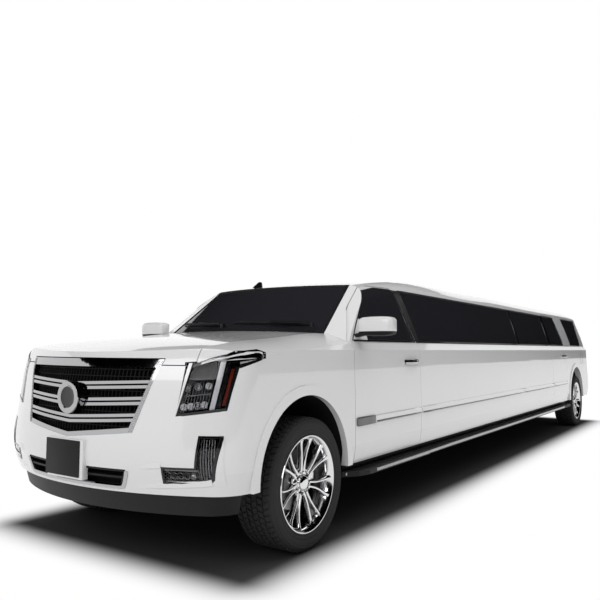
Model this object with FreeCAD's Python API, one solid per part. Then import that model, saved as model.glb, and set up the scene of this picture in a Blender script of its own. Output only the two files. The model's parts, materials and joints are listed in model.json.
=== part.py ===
"""Stretch limousine: a full-size luxury utility vehicle with a lengthened cabin.

The model stands on its tyres at z = 0 with its middle at the origin. The front
faces -Y and the car's left side is +X. Places along the car are first given as
stations, which are distances behind the front axle, and at() turns a station
into a Y coordinate. All lengths are millimetres and all angles are degrees.
"""
import FreeCAD, Part
import math
import os

Vector = FreeCAD.Vector

# Whole car
overall_length = 10259.0
wheelbase = 8026.0
front_overhang = 1020.0
overrun = 60.0
fit_gap = 0.3
moving_gap = 5.5

# Lower body: half widths at each level, counted at the skin of the side
body_bottom_z = 451.0
tuck_z = 573.0
shoulder_z = 1234.0
belt_z = 1294.0
bottom_half_width = 998.0
tuck_half_width = 1016.0
shoulder_half_width = 1008.0
belt_half_width = 968.0
fender_top_z = 1430.0
fender_top_half_width = 880.0
side_wall = 80.0
fender_wall = 30.0

# Plan curves of the nose and the tail
nose_bow_radius = 1800.0
nose_corner_radius = 233.0
tail_bow_radius = 5200.0
tail_corner_radius = 210.0
nose_lean_bottom = 32.0
nose_lean_grille = 27.0
nose_lean_lip = 72.0
nose_lean_top = 250.0
tail_inset_bottom = 30.0
tail_inset_shoulder = 58.0
tail_inset_belt = 74.0
tail_inset_roof = 200.0

# Hood line along the centre of the car
hood_front_z = 1214.0
cowl_z = 1385.0
hood_half_width = 775.0
hood_edge_drop = 26.0
shoulder_front_z = 1196.0
hood_seam_z = 1150.0
hood_nose_setback = 80.0
hood_line_shares = ((-0.10, -0.28), (0.0, 0.0), (0.08, 0.19), (0.226, 0.44), (0.425, 0.61),
                    (0.625, 0.745), (0.91, 0.95), (1.10, 1.06))

# Windshield and greenhouse
windshield_base = 405.0
windshield_bow_radius = 1695.0
windshield_rake = 35.0
greenhouse_wall = 42.0
glass_thickness = 7.0
glass_inset = 4.0
window_top_z = 1745.0
window_top_half_width = 836.0
side_crown = 8.0
rail_half_width = 700.0
rail_z = 1862.0
roof_z = 1889.0
roof_front_drop = 112.0
roof_front_rise_length = 1350.0
roof_rear_drop = 42.0
roof_rear_fall_length = 900.0
cowl_width = 62.0
cowl_thickness = 22.0

# Doors and side panels
fender_door_seam = 568.0
front_door_length = 1128.0
rear_door_length = 912.0
rear_door_to_axle = 690.0
door_seam_slope = 0.25
door_hinge_clear = 2.0
door_header = 46.0
door_frame_width = 62.0
belt_frame = 26.0
pillar_lean = 120.0
a_pillar_seam_run = 478.0
stretch_seam_share = 0.66

# Rear end
tailgate_half_width = 765.0
tailgate_glass_half = 690.0
tailgate_glass_bottom_z = 1335.0
tailgate_bottom_z = 655.0
tailgate_top_inset = 150.0

# Headlamps, fog lamps, grille and lower intake, seen from the front
lamp_inner_bottom = (703.0, -855.0, 873.0)
lamp_inner_top = (752.0, -830.0, 1160.0)
lamp_tip = (1004.0, -455.0, 1191.0)
lamp_bend = (973.0, -643.0, 1137.0)
lamp_outer_bottom = (940.0, -711.0, 909.0)
lamp_depth = 110.0
lamp_view_angle = 45.0
fog_inner_half = 655.0
fog_outer_half = 947.0
fog_bottom_z = 520.0
fog_shelf_z = 600.0
fog_top_z = 769.0
fog_column_half = 838.0
fog_lean = 13.0
grille_top_half = 598.0
grille_top_z = 1180.0
grille_bottom_half = 474.0
grille_bottom_z = 778.0
grille_point_z = 731.0
grille_depth = 60.0
grille_bar_count = 3
grille_bar_height = 44.0
grille_bar_groove = 10.0
grille_bar_sag = 34.0
grille_rim = 26.0
grille_top_bar = 46.0
grille_backing_thickness = 14.0
badge_radius = 92.0
badge_thickness = 16.0
intake_half = 440.0
intake_low_half = 404.0
intake_bottom_z = 478.0
intake_top_z = 579.0
intake_bar_height = 12.0
bumper_seam_station = -520.0
bumper_seam_z = 1100.0
valance_bottom_z = 332.0
valance_half_width = 950.0
valance_setback = 70.0
valance_wall = 22.0
valance_end_station = -575.0

# Rear lamps and rear bumper
tail_lamp_inner_half = 800.0
tail_lamp_outer_half = 925.0
tail_lamp_bottom_z = 800.0
tail_lamp_top_z = 1690.0
tail_lamp_depth = 36.0
rear_bumper_run = 640.0
quarter_pillar_width = 410.0
quarter_pillar_setback = 84.0
quarter_window_run = 770.0
quarter_window_flare = 100.0

# Running boards and small body pieces
board_start = 448.0
board_half_width = 1082.0
board_rear_half_width = 1068.0
board_bottom_z = 372.0
board_top_z = 408.0
board_wide_end = 1712.0
board_nose_radius = 105.0
mirror_station = 632.0
mirror_length = 118.0
mirror_inner_half = 1030.0
mirror_outer_half = 1262.0
mirror_bottom_z = 1332.0
mirror_top_z = 1474.0
mirror_round = 34.0
mirror_arm_height = 40.0
windshield_low_half = 768.0
windshield_low_z = 1320.0
windshield_high_half = 672.0
windshield_frame_height = 10.0
windshield_pillar_width = 70.0

# Wheels and tyres
tyre_radius = 407.5
tyre_width = 285.0
rim_radius = 293.0
rim_width = 250.0
rim_thickness = 12.0
track = 1745.0
hub_radius = 95.0
spindle_radius = 30.0
kingpin_half_track = 790.0
tyre_shoulder_share = 0.968
bead_share = 0.96
bead_width_share = 0.84
tread_share = 0.9
tread_crown_share = 0.72
spoke_count = 7
spoke_face_share = 0.8
spoke_depth = 42.0
spoke_width = 15.0
spoke_gap = 12.0
spoke_spread = 76.0
hub_depth = 90.0
hub_dish = 16.0
knuckle_half_height = 170.0
knuckle_thickness = 50.0
kingpin_radius = 14.0
arm_thickness = 34.0
arm_eye_radius = 40.0
steering_arm_length = 120.0
knuckle_clear = 8.0
suspension_column = 30.0
spindle_reach = 55.0
axle_tube_radius = 48.0
spring_column_radius = 34.0
differential_radius = 150.0
differential_half_width = 95.0
arch_radius = 485.0
arch_centre_rise = 62.0
arch_centre_forward = 30.0
flare_width = 62.0
flare_half_width = 1024.0
housing_radius = 497.0
housing_wall = 4.0
housing_inner_half = 512.0

# Chassis
rail_inner_half = 380.0
rail_outer_half = 480.0
rail_bottom_z = 385.0
rail_top_z = 545.0
rail_kick = 175.0
floor_z = 600.0
floor_rise = 145.0
floor_thickness = 20.0
firewall_top_z = 1282.0
frame_front_setback = 230.0
frame_rear_setback = 230.0
bumper_beam_overhang = 60.0
crossmember_width = 90.0
bumper_beam_depth = 60.0
crossmember_shares = (0.04, 0.1, 0.24, 0.36, 0.48, 0.6, 0.72, 0.84, 0.95)
outrigger_shares = (0.02, 0.17, 0.34, 0.51, 0.68, 0.84, 0.97)
rocker_inner_half = 880.0
rocker_outer_half = 958.0
rocker_bottom_z = 385.0
rocker_top_z = 444.0

# Masses under the body and what shows inside the cabin
engine_half_width = 300.0
engine_front_station = -330.0
engine_rear_station = 430.0
engine_top_z = 1080.0
shaft_radius = 36.0
shaft_z = 506.0
tank_bottom_z = 300.0
tank_round = 30.0
exhaust_radius = 36.0
silencer_length = 620.0
body_mount_radius = 40.0
dash_bottom_z = 940.0
dash_depth = 330.0
dash_half_width = 880.0
wheel_offset = 410.0
steering_wheel_radius = 180.0
steering_rim = 15.0
steering_reach = 110.0
steering_tilt = 25.0
steering_height_share = 0.6
fascia_lean = 18.0
seat_station = 1120.0
seat_height = 290.0
seat_depth = 520.0
seat_width = 540.0
seat_thickness = 130.0
seat_back_height = 560.0
seat_back_lean = 150.0
lounge_clear = 40.0
rear_bench_half = 820.0
partition_station = 1905.0
partition_top_z = 1640.0

# Strikers and bump stops that the doors, hood and tailgate close on
striker_bottom_z = 900.0
striker_height = 60.0
striker_depth = 34.0
striker_offset = 30.0
stop_half_place = 640.0
stop_width = 40.0
stop_depth = 18.0

rear_overhang = overall_length - wheelbase - front_overhang
flare_inner_half = flare_half_width - flare_width * 2 / 3
front_axle_y = front_overhang - overall_length / 2
sides = (1, -1)


def at(station):
    """Y coordinate of a place that lies this far behind the front axle."""
    return front_axle_y + station


def share(low, high, part):
    """Value that lies this share of the way from low to high."""
    return low + (high - low) * part


def box(x_low, x_high, y_low, y_high, z_low, z_high):
    """Block between two corners, given in any order."""
    corner = Vector(min(x_low, x_high), min(y_low, y_high), min(z_low, z_high))
    return Part.makeBox(abs(x_high - x_low), abs(y_high - y_low), abs(z_high - z_low), corner)


def side_prism(points, x_low, x_high):
    """Solid of an outline of (y, z) points, carried across from one x to another."""
    corners = [Vector(x_low, y, z) for y, z in points]
    face = Part.Face(Part.makePolygon(corners + corners[:1]))
    return face.extrude(Vector(x_high - x_low, 0, 0))


def front_prism(points, y_low, y_high):
    """Solid of an outline of (x, z) points, carried along the car."""
    corners = [Vector(x, y_low, z) for x, z in points]
    face = Part.Face(Part.makePolygon(corners + corners[:1]))
    return face.extrude(Vector(0, y_high - y_low, 0))


def plan_prism(points, z_low, z_high):
    """Solid of an outline of (x, y) points, carried upwards."""
    corners = [Vector(x, y, z_low) for x, y in points]
    face = Part.Face(Part.makePolygon(corners + corners[:1]))
    return face.extrude(Vector(0, 0, z_high - z_low))


def axle_disc(x_low, x_high, y, z, radius):
    """Round solid on a line across the car."""
    return Part.makeCylinder(radius, abs(x_high - x_low), Vector(min(x_low, x_high), y, z), Vector(1, 0, 0))


def mirrored(shape):
    """The same piece on the other side of the car."""
    return shape.mirror(Vector(0, 0, 0), Vector(1, 0, 0))


def fused(shapes):
    """One shape of all pieces that touch or overlap."""
    if len(shapes) == 1:
        return shapes[0]
    return shapes[0].multiFuse(shapes[1:]).removeSplitter()


def save(node, shapes):
    """Writes the solids of one node as a STEP file."""
    solids = [solid for shape in shapes for solid in shape.Solids]
    result = solids[0] if len(solids) == 1 else Part.makeCompound(solids)
    result.exportStep("parts/" + node + ".step")
    volume = sum(solid.Volume for solid in solids)
    print(node, len(solids), "solids", round(volume / 1e6, 2), "litres", result.isValid())
    return result


def arc(start, middle, end):
    """Edge of a circle through three points."""
    return Part.Arc(start, middle, end).toShape()


def corner_centre(half_width, bow_y, bow_radius, corner_radius, direction):
    """Centre of the arc that joins a bow to a straight side."""
    x = half_width - corner_radius
    reach = math.sqrt((bow_radius - corner_radius) ** 2 - x ** 2)
    return x, bow_y + direction * (bow_radius - reach)


def plan_end(z, half_width, end_y, bow_radius, corner_radius, direction):
    """Points of one end: side, middle of corner, bow start and middle of bow."""
    x, y = corner_centre(half_width, end_y, bow_radius, corner_radius, direction)
    bow_centre_y = end_y + direction * bow_radius
    scale = bow_radius / (bow_radius - corner_radius)
    touch = Vector(x * scale, bow_centre_y + (y - bow_centre_y) * scale, z)
    side = Vector(half_width, y, z)
    lean = Vector(half_width - x, 0, 0) + (touch - Vector(x, y, z))
    lean.normalize()
    corner = Vector(x, y, z) + lean * corner_radius
    return side, corner, touch, Vector(0, end_y, z)


def across(point):
    """Point on the other side of the car."""
    return Vector(-point.x, point.y, point.z)


def plan_wire(z, half_width, nose_y, nose_radius, nose_corner, tail_y, tail_radius, tail_corner):
    """Closed outline of the car at one level, in eight edges."""
    nose = plan_end(z, half_width, nose_y, nose_radius, nose_corner, 1)
    tail = plan_end(z, half_width, tail_y, tail_radius, tail_corner, -1)
    edges = [
        arc(across(nose[2]), nose[3], nose[2]),
        arc(nose[2], nose[1], nose[0]),
        Part.makeLine(nose[0], tail[0]),
        arc(tail[0], tail[1], tail[2]),
        arc(tail[2], tail[3], across(tail[2])),
        arc(across(tail[2]), across(tail[1]), across(tail[0])),
        Part.makeLine(across(tail[0]), across(nose[0])),
        arc(across(nose[0]), across(nose[1]), across(nose[2])),
    ]
    return Part.Wire(edges)


def body_level(z, half_width, nose_inset, tail_inset, inset):
    """Outline of the lower body at one level, moved in by a wall."""
    return plan_wire(z, half_width - inset,
                     at(-front_overhang) + nose_inset + inset, nose_bow_radius - inset,
                     nose_corner_radius - inset,
                     at(wheelbase + rear_overhang) - tail_inset - inset, tail_bow_radius - inset,
                     tail_corner_radius - inset)


def body_form(inset, low_z, high_z):
    """Solid of the lower body up to the fender tops, cut to a range of heights."""
    middle_share = 0.55
    grille_share = 0.9
    middle_half = share(tuck_half_width, shoulder_half_width, middle_share / 2)
    upper_half = share(tuck_half_width, shoulder_half_width, grille_share)
    bands = [
        [(body_bottom_z - overrun, bottom_half_width, nose_lean_bottom, tail_inset_bottom),
         (body_bottom_z, bottom_half_width, nose_lean_bottom, tail_inset_bottom)],
        [(body_bottom_z, bottom_half_width, nose_lean_bottom, tail_inset_bottom),
         (tuck_z, tuck_half_width, 0, 0)],
        [(tuck_z, tuck_half_width, 0, 0),
         (share(tuck_z, shoulder_z, middle_share / 2), tuck_half_width, 0, 0),
         (share(tuck_z, shoulder_z, middle_share), middle_half, nose_lean_grille, tail_inset_bottom),
         (share(tuck_z, shoulder_z, grille_share), upper_half, nose_lean_lip, tail_inset_shoulder),
         (shoulder_z, shoulder_half_width, (nose_lean_lip + nose_lean_top) / 3, tail_inset_shoulder)],
        [(shoulder_z, shoulder_half_width, (nose_lean_lip + nose_lean_top) / 3, tail_inset_shoulder),
         (belt_z, belt_half_width, nose_lean_top / 2, tail_inset_belt),
         (fender_top_z, fender_top_half_width, nose_lean_top, tail_inset_roof)],
    ]
    pieces = []
    for band in bands:
        wires = [body_level(z, half, nose, tail, inset) for z, half, nose, tail in band]
        pieces.append(Part.makeLoft(wires, True, False))
    form = fused(pieces)
    reach = overall_length
    return form.common(box(-reach, reach, -reach, reach, low_z, high_z))


def crown_section(station, centre_z, shoulder_drop_z, inset):
    """Cross-section under the hood and the fender tops, at one station."""
    y = at(station)
    wide = flare_half_width + overrun
    edge_z = centre_z - hood_edge_drop
    outer = (wide + hood_half_width) / 2
    bulge = share(edge_z, shoulder_drop_z, 1 / 3)
    low = body_bottom_z - overrun * 2
    points = [Vector(wide, y, low), Vector(wide, y, shoulder_drop_z - inset),
              Vector(outer, y, bulge - inset), Vector(hood_half_width, y, edge_z - inset),
              Vector(0, y, centre_z - inset)]
    mate = [across(point) for point in points]
    edges = [Part.makeLine(mate[0], points[0]), Part.makeLine(points[0], points[1]),
             arc(points[1], points[2], points[3]), arc(points[3], points[4], mate[3]),
             arc(mate[3], mate[2], mate[1]), Part.makeLine(mate[1], mate[0])]
    return Part.Wire(edges)


def crown_form(inset):
    """Solid below the hood and fender tops, from ahead of the nose to the cowl."""
    nose = hood_nose_setback - front_overhang
    wires = []
    for along, up in hood_line_shares:
        station = share(nose, fender_door_seam, along)
        centre = share(hood_front_z, cowl_z, up)
        shoulder = share(shoulder_front_z, shoulder_z, along) - overrun / 2
        wires.append(crown_section(station, centre, shoulder, inset))
    return Part.makeLoft(wires, True, False)


def front_form(inset):
    """Solid of the body ahead of the doors."""
    return body_form(inset, body_bottom_z - overrun, fender_top_z).common(crown_form(inset))


def greenhouse_level(z, half_width, tail_inset, inset):
    """Outline of the cabin above the belt at one level."""
    return plan_wire(z, half_width - inset, at(0), nose_bow_radius, nose_corner_radius - inset,
                     at(wheelbase + rear_overhang) - tail_inset - inset, tail_bow_radius - inset,
                     tail_corner_radius - inset)


def roof_section(y, drop, inset):
    """Cross-section of the roof and its rails at one place along the car."""
    low_z = belt_z - overrun * 2
    lean = (belt_half_width - window_top_half_width) / (window_top_z - belt_z)
    clear = side_crown * 2
    low_half = belt_half_width + clear + lean * (belt_z - low_z)
    top_half = window_top_half_width + clear
    rail_bulge = (roof_z - rail_z) / 2
    drop = drop + inset
    points = [Vector(low_half, y, low_z), Vector(top_half, y, window_top_z - drop),
              Vector((top_half + rail_half_width) / 2 + rail_bulge, y,
                     (window_top_z + rail_z) / 2 + rail_bulge - drop),
              Vector(rail_half_width, y, rail_z - drop), Vector(0, y, roof_z - drop)]
    mate = [across(point) for point in points]
    edges = [Part.makeLine(mate[0], points[0]), Part.makeLine(points[0], points[1]),
             arc(points[1], points[2], points[3]), arc(points[3], points[4], mate[3]),
             arc(mate[3], mate[2], mate[1]), Part.makeLine(mate[1], mate[0])]
    return Part.Wire(edges)


def roof_drop(y):
    """How far the roof line lies below its highest, at one place along the car."""
    front = at(windshield_base) + roof_front_rise_length * 3 / 2
    rear = at(wheelbase + rear_overhang) - roof_rear_fall_length
    ahead = max(0.0, front - y) / roof_front_rise_length
    behind = max(0.0, y - rear) / roof_rear_fall_length
    return roof_front_drop * ahead ** 2 + roof_rear_drop * behind ** 2


def roof_form(inset):
    """Solid below the roof skin, from ahead of the windshield to behind the tailgate."""
    start = at(windshield_base)
    front = start + roof_front_rise_length * 3 / 2
    end = at(wheelbase + rear_overhang) + overrun
    rear = end - overrun - roof_rear_fall_length
    places = [share(start, front, part / 6) for part in range(7)]
    places += [share(front, rear, part / 4) for part in range(1, 4)]
    places += [share(rear, end, part / 4) for part in range(5)]
    return Part.makeLoft([roof_section(y, roof_drop(y), inset) for y in places], True, False)


def windshield_prism(inset, reach):
    """Solid of all that lies ahead of the windshield skin, moved in by a wall."""
    rake = math.radians(windshield_rake)
    low_z = hood_seam_z - overrun
    top_z = roof_z + overrun
    run = (top_z - low_z) / math.tan(rake)
    base_y = at(windshield_base) + inset / math.sin(rake) - (cowl_z - low_z) / math.tan(rake)
    half = shoulder_half_width + overrun
    bow = windshield_bow_radius - math.sqrt(windshield_bow_radius ** 2 - half ** 2)
    ends = [Vector(-half, base_y + bow, low_z), Vector(half, base_y + bow, low_z)]
    middle = Vector(0, base_y, low_z)
    ahead = [Vector(half, base_y - reach, low_z), Vector(-half, base_y - reach, low_z)]
    edges = [arc(ends[0], middle, ends[1]), Part.makeLine(ends[1], ahead[0]),
             Part.makeLine(ahead[0], ahead[1]), Part.makeLine(ahead[1], ends[0])]
    return Part.Face(Part.Wire(edges)).extrude(Vector(0, run, top_z - low_z))


def greenhouse_form(inset):
    """Solid of the cabin above the belt, behind the windshield."""
    middle_z = (belt_z + window_top_z) / 2
    middle_half = (belt_half_width + window_top_half_width) / 2 + side_crown
    lean = (belt_half_width - window_top_half_width) / (window_top_z - belt_z)
    rear_lean = (tail_inset_roof - tail_inset_belt) / (roof_z - belt_z)
    high_z = roof_z + overrun
    low_z = belt_z - overrun
    levels = [(low_z, belt_half_width + lean * overrun / 2, tail_inset_belt - rear_lean * overrun),
              (belt_z, belt_half_width, tail_inset_belt),
              (middle_z, middle_half, (tail_inset_belt + tail_inset_roof) / 2),
              (window_top_z, window_top_half_width, tail_inset_roof - rear_lean * (roof_z - window_top_z)),
              (high_z, window_top_half_width - lean * (high_z - window_top_z),
               tail_inset_roof + rear_lean * overrun)]
    wires = [greenhouse_level(z, half, tail, inset) for z, half, tail in levels]
    cabin = Part.makeLoft(wires, True, False)
    reach = wheelbase
    return cabin.common(roof_form(inset)).cut(windshield_prism(inset, reach))


def leaning_prism(points, z, run, height):
    """Solid of a plan outline, carried up and along the car together."""
    corners = [Vector(x, y, z) for x, y in points]
    return Part.Face(Part.makePolygon(corners + corners[:1])).extrude(Vector(0, run, height))


def side_zone(front, front_slope, rear, rear_slope, low_z, high_z, lean_front=0, lean_rear=0):
    """Region of the left side between two seams that may slope inwards and lean."""
    skin = tuck_half_width
    x_in = rail_outer_half
    x_out = flare_half_width + overrun
    height = high_z - low_z
    far = overall_length * 2

    def edge(station, slope, x):
        return at(station) - slope * (skin - x)

    behind = [(x_in, edge(front, front_slope, x_in)), (x_out, edge(front, front_slope, x_out)),
              (x_out, far), (x_in, far)]
    ahead = [(x_in, edge(rear, rear_slope, x_in)), (x_out, edge(rear, rear_slope, x_out)),
             (x_out, -far), (x_in, -far)]
    start = leaning_prism(behind, low_z, -lean_front, height)
    return start.common(leaning_prism(ahead, low_z, -lean_rear, height))


def inset_outline(points, gap):
    """Corners of a flat outline with each edge moved inwards by a gap, in clockwise order."""
    corners = [Vector(across_place, up, 0) for across_place, up in points]
    result = []
    for number, corner in enumerate(corners):
        before = (corner - corners[number - 1]).normalize()
        after = (corners[(number + 1) % len(corners)] - corner).normalize()
        inward = Vector(before.y + after.y, -before.x - after.x, 0)
        moved = corner + inward * (gap / (1 + before.dot(after)))
        result.append((moved.x, moved.y))
    return result


reach = overall_length
far = overall_length * 2
roof_seam_z = window_top_z + door_hinge_clear * 2 + moving_gap
door_top_z = roof_seam_z - moving_gap
front_door_front = fender_door_seam + moving_gap
front_door_rear = fender_door_seam + front_door_length
roof_lean = pillar_lean * (roof_seam_z - belt_z) / (window_top_z - belt_z)
rear_door_rear = wheelbase - rear_door_to_axle
rear_door_front = rear_door_rear - rear_door_length
tail_station = wheelbase + rear_overhang
tailgate_hinge_station = tail_station - tail_inset_roof - tailgate_top_inset

front_outer = front_form(0)
front_inner = front_form(fender_wall)
front_shell = front_outer.cut(front_inner)
grille_inner = front_form(grille_depth)
grille_layer = front_outer.cut(grille_inner)
backing_layer = grille_inner.cut(front_form(grille_depth + grille_backing_thickness))
lamp_layer = front_outer.cut(front_form(lamp_depth))
lower_outer = body_form(0, body_bottom_z, belt_z)
lower_inner = body_form(side_wall, body_bottom_z - overrun, belt_z + overrun)
lower_shell = lower_outer.cut(lower_inner)
cabin_outer = greenhouse_form(0)
cabin_inner = greenhouse_form(greenhouse_wall)
above_belt = box(-reach, reach, -reach, reach, belt_z, roof_z + overrun)
cabin_shell = cabin_outer.common(above_belt).cut(cabin_inner)
glass_layer = greenhouse_form(glass_inset).cut(greenhouse_form(glass_inset + glass_thickness))
hood_zone = front_outer.common(box(-reach, reach, -reach, at(fender_door_seam), body_bottom_z, fender_top_z))


def arch_disc(axle_station, radius, side, x_low, x_high):
    """Round cutter or ring blank about the middle of a wheel arch."""
    y = at(axle_station - arch_centre_forward)
    return axle_disc(side * x_low, side * x_high, y, tyre_radius + arch_centre_rise, radius)


def arch_flare(axle_station, side):
    """Raised lip round one wheel arch, down to the bottom of the body."""
    wide = flare_half_width
    ring = arch_disc(axle_station, arch_radius + flare_width, side, flare_inner_half, wide)
    ring = ring.cut(arch_disc(axle_station, arch_radius, side, flare_inner_half - overrun, wide + overrun))
    edge = ring.common(box(-reach, reach, -reach, reach, body_bottom_z, fender_top_z))
    return edge


def bumper_zone():
    """Region of the front fascia: low corners and the face between the headlamps."""
    corner = box(-reach, reach, -reach, at(bumper_seam_station), body_bottom_z, bumper_seam_z)
    face = box(-hood_half_width, hood_half_width, -reach, at(bumper_seam_station), body_bottom_z,
               hood_seam_z - moving_gap)
    return corner.fuse(face)


def lamp_prism(side, gap):
    """Region of one headlamp, seen along a level line at an angle to the car."""
    turn = math.radians(lamp_view_angle)
    view = Vector(math.sin(turn), -math.cos(turn), 0)
    level = Vector(math.cos(turn), math.sin(turn), 0)
    places = (lamp_inner_bottom, lamp_inner_top, lamp_tip, lamp_bend, lamp_outer_bottom)
    flat = [(x * level.x + at(station) * level.y, z) for x, station, z in places]
    depth = lamp_tip[0] * view.x + at(lamp_tip[1]) * view.y
    back = view * (depth - front_overhang / 2)
    corners = [back + level * place + Vector(0, 0, up) for place, up in inset_outline(flat, gap)]
    prism = Part.Face(Part.makePolygon(corners + corners[:1])).extrude(view * front_overhang)
    return prism if side > 0 else mirrored(prism)


def fog_prism(side, gap):
    """L-shaped region of one fog lamp."""
    points = [(fog_inner_half + gap, fog_bottom_z + gap), (fog_outer_half - fog_lean - gap, fog_bottom_z + gap),
              (fog_outer_half - gap, fog_top_z - gap), (fog_column_half + gap, fog_top_z - gap),
              (fog_column_half - fog_lean + gap, fog_shelf_z - gap), (fog_inner_half + gap, fog_shelf_z - gap)]
    return front_prism([(side * x, z) for x, z in points], at(-front_overhang) - overrun,
                       at(bumper_seam_station) - gap)


def grille_outline(gap):
    """Outline of the grille opening, wide at the top and pointed at the bottom."""
    return [(-grille_top_half + gap, grille_top_z - gap), (-grille_bottom_half + gap, grille_bottom_z + gap),
            (0, grille_point_z + gap), (grille_bottom_half - gap, grille_bottom_z + gap),
            (grille_top_half - gap, grille_top_z - gap)]


def grille_prism(gap):
    """Region of the grille opening."""
    return front_prism(grille_outline(gap), at(-front_overhang) - overrun, at(bumper_seam_station))


def intake_prism(gap):
    """Region of the lower intake opening."""
    points = [(-intake_half + gap, intake_top_z - gap), (-intake_low_half + gap, intake_bottom_z + gap),
              (intake_low_half - gap, intake_bottom_z + gap), (intake_half - gap, intake_top_z - gap)]
    return front_prism(points, at(-front_overhang) - overrun, at(bumper_seam_station))


def make_hood():
    """Hood panel from the grille to the cowl."""
    half = hood_half_width - moving_gap / 2
    plate = front_shell.common(box(-half, half, -reach, reach, hood_seam_z, fender_top_z))
    setback = cowl_width * math.sin(math.radians(windshield_rake)) + moving_gap
    plate = plate.common(windshield_prism(-setback, reach)).cut(grille_prism(-moving_gap))
    for side in sides:
        plate = plate.cut(lamp_prism(side, -moving_gap))
    return plate


def make_cowl():
    """Panel between the hood and the windshield."""
    half = hood_half_width + moving_gap / 2
    plate = front_shell.common(box(-half, half, -reach, at(fender_door_seam), hood_seam_z, fender_top_z))
    setback = cowl_width * math.sin(math.radians(windshield_rake))
    return plate.common(windshield_prism(0, reach)).cut(windshield_prism(-setback, reach))


def make_fender(side):
    """Front fender with its wheel arch, cut for the hood, lamp and bumper."""
    half = hood_half_width + moving_gap / 2
    zone = box(side * half, side * reach, -reach, at(fender_door_seam), body_bottom_z, fender_top_z)
    panel = front_shell.common(zone).cut(bumper_zone()).cut(lamp_prism(side, 0))
    panel = panel.fuse(arch_flare(0, side).cut(bumper_zone()))
    return panel.cut(arch_disc(0, arch_radius, side, housing_inner_half, flare_half_width + overrun))


def make_front_bumper():
    """Front fascia from corner to corner, open at the grille, intake and lamps."""
    panel = front_shell.common(bumper_zone())
    for side in sides:
        panel = panel.fuse(arch_flare(0, side).common(bumper_zone()))
        panel = panel.cut(arch_disc(0, arch_radius, side, housing_inner_half, flare_half_width + overrun))
        panel = panel.cut(lamp_prism(side, 0)).cut(fog_prism(side, 0))
    panel = panel.cut(grille_prism(0)).cut(intake_prism(0))
    low_z = hood_seam_z - moving_gap
    bow = nose_bow_radius - math.sqrt(nose_bow_radius ** 2 - (stop_half_place + stop_width / 2) ** 2)
    stops = make_stops(nose_lean_lip - front_overhang + bow + stop_depth / 2, low_z, hood_seam_z - fit_gap)
    return fused([panel] + stops)


def make_front_valance():
    """Dark lower apron under the front bumper."""
    levels = ((valance_bottom_z, valance_setback * 3 / 2, valance_half_width - valance_wall),
              (body_bottom_z, valance_setback, valance_half_width))
    forms = []
    for wall in (0, valance_wall):
        wires = [plan_wire(z, half - wall, at(-front_overhang) + setback + wall, nose_bow_radius,
                           nose_corner_radius, at(wheelbase), tail_bow_radius, tail_corner_radius)
                 for z, setback, half in levels]
        forms.append(Part.makeLoft(wires, True, True))
    zone = box(-reach, reach, -reach, at(valance_end_station), valance_bottom_z, body_bottom_z)
    return forms[0].cut(forms[1]).common(zone)


def grille_bar(z, height, sag, half):
    """Outline of a bar that dips to a soft point in the middle."""
    low = [(-half, z), (0, z - sag), (half, z)]
    high = [(half, z + height), (0, z + height - sag), (-half, z + height)]
    return front_prism(low + high, at(-front_overhang) - overrun, at(bumper_seam_station))


def make_grille():
    """Frame, crossbars and bare round boss of the grille."""
    layer = grille_layer.common(grille_prism(fit_gap))
    rim = layer.cut(grille_prism(grille_rim))
    top_z = grille_top_z - grille_top_bar
    pieces = [rim, layer.common(box(-reach, reach, -reach, reach, top_z, grille_top_z))]
    pitch = (top_z - grille_bottom_z) / (grille_bar_count + 1)
    strip = (grille_bar_height - grille_bar_groove) / 2
    for number in range(grille_bar_count):
        z = grille_bottom_z + pitch * (number + 1) - grille_bar_height / 2
        sag = grille_bar_sag * (1 - number / grille_bar_count / 2)
        pieces.append(layer.common(grille_bar(z, strip, sag, grille_top_half)))
        pieces.append(layer.common(grille_bar(z + strip + grille_bar_groove, strip, sag, grille_top_half)))
    nose_y = at(-front_overhang) + nose_lean_grille
    badge_z = (grille_top_z + grille_point_z) / 2
    badge = Part.makeCylinder(badge_radius, grille_depth, Vector(0, nose_y - badge_thickness, badge_z), Vector(0, 1, 0))
    pieces.append(badge)
    return fused(pieces)


def make_grille_backing():
    """Dark plate behind the grille bars, right across the opening."""
    return backing_layer.common(grille_prism(fit_gap - grille_rim / 2))


def make_headlamp(side):
    """One headlamp body, flush with the skin round it."""
    return lamp_layer.common(lamp_prism(side, fit_gap))


def make_fog_lamp(side):
    """One fog lamp body in the bumper corner."""
    return grille_layer.common(fog_prism(side, fit_gap))


def make_intake():
    """Dark lower intake: two crossbars over a backing."""
    layer = grille_layer.common(intake_prism(fit_gap))
    bars = layer.cut(intake_prism(intake_bar_height))
    middle_z = (intake_bottom_z + intake_top_z) / 2
    bar = layer.common(box(-reach, reach, -reach, reach, middle_z, middle_z + intake_bar_height))
    back = backing_layer.common(intake_prism(-intake_bar_height))
    return fused([bars, bar, back])


def windshield_opening(gap):
    """Region of the windshield glass, seen from the front."""
    high_z = roof_seam_z - windshield_frame_height
    points = [(-windshield_low_half + gap, windshield_low_z + gap), (windshield_low_half - gap, windshield_low_z + gap),
              (windshield_high_half - gap, high_z - gap), (-windshield_high_half + gap, high_z - gap)]
    return front_prism(points, -reach, at(fender_door_seam + front_door_length))


def a_pillar_line(setback, high_z):
    """Points of the seam from the belt up along the windshield pillar."""
    slope = (a_pillar_seam_run) / (window_top_z - belt_z)
    run = slope * (high_z - belt_z)
    return (at(front_door_front + setback), belt_z), (at(front_door_front + setback) + run, high_z)


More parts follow.
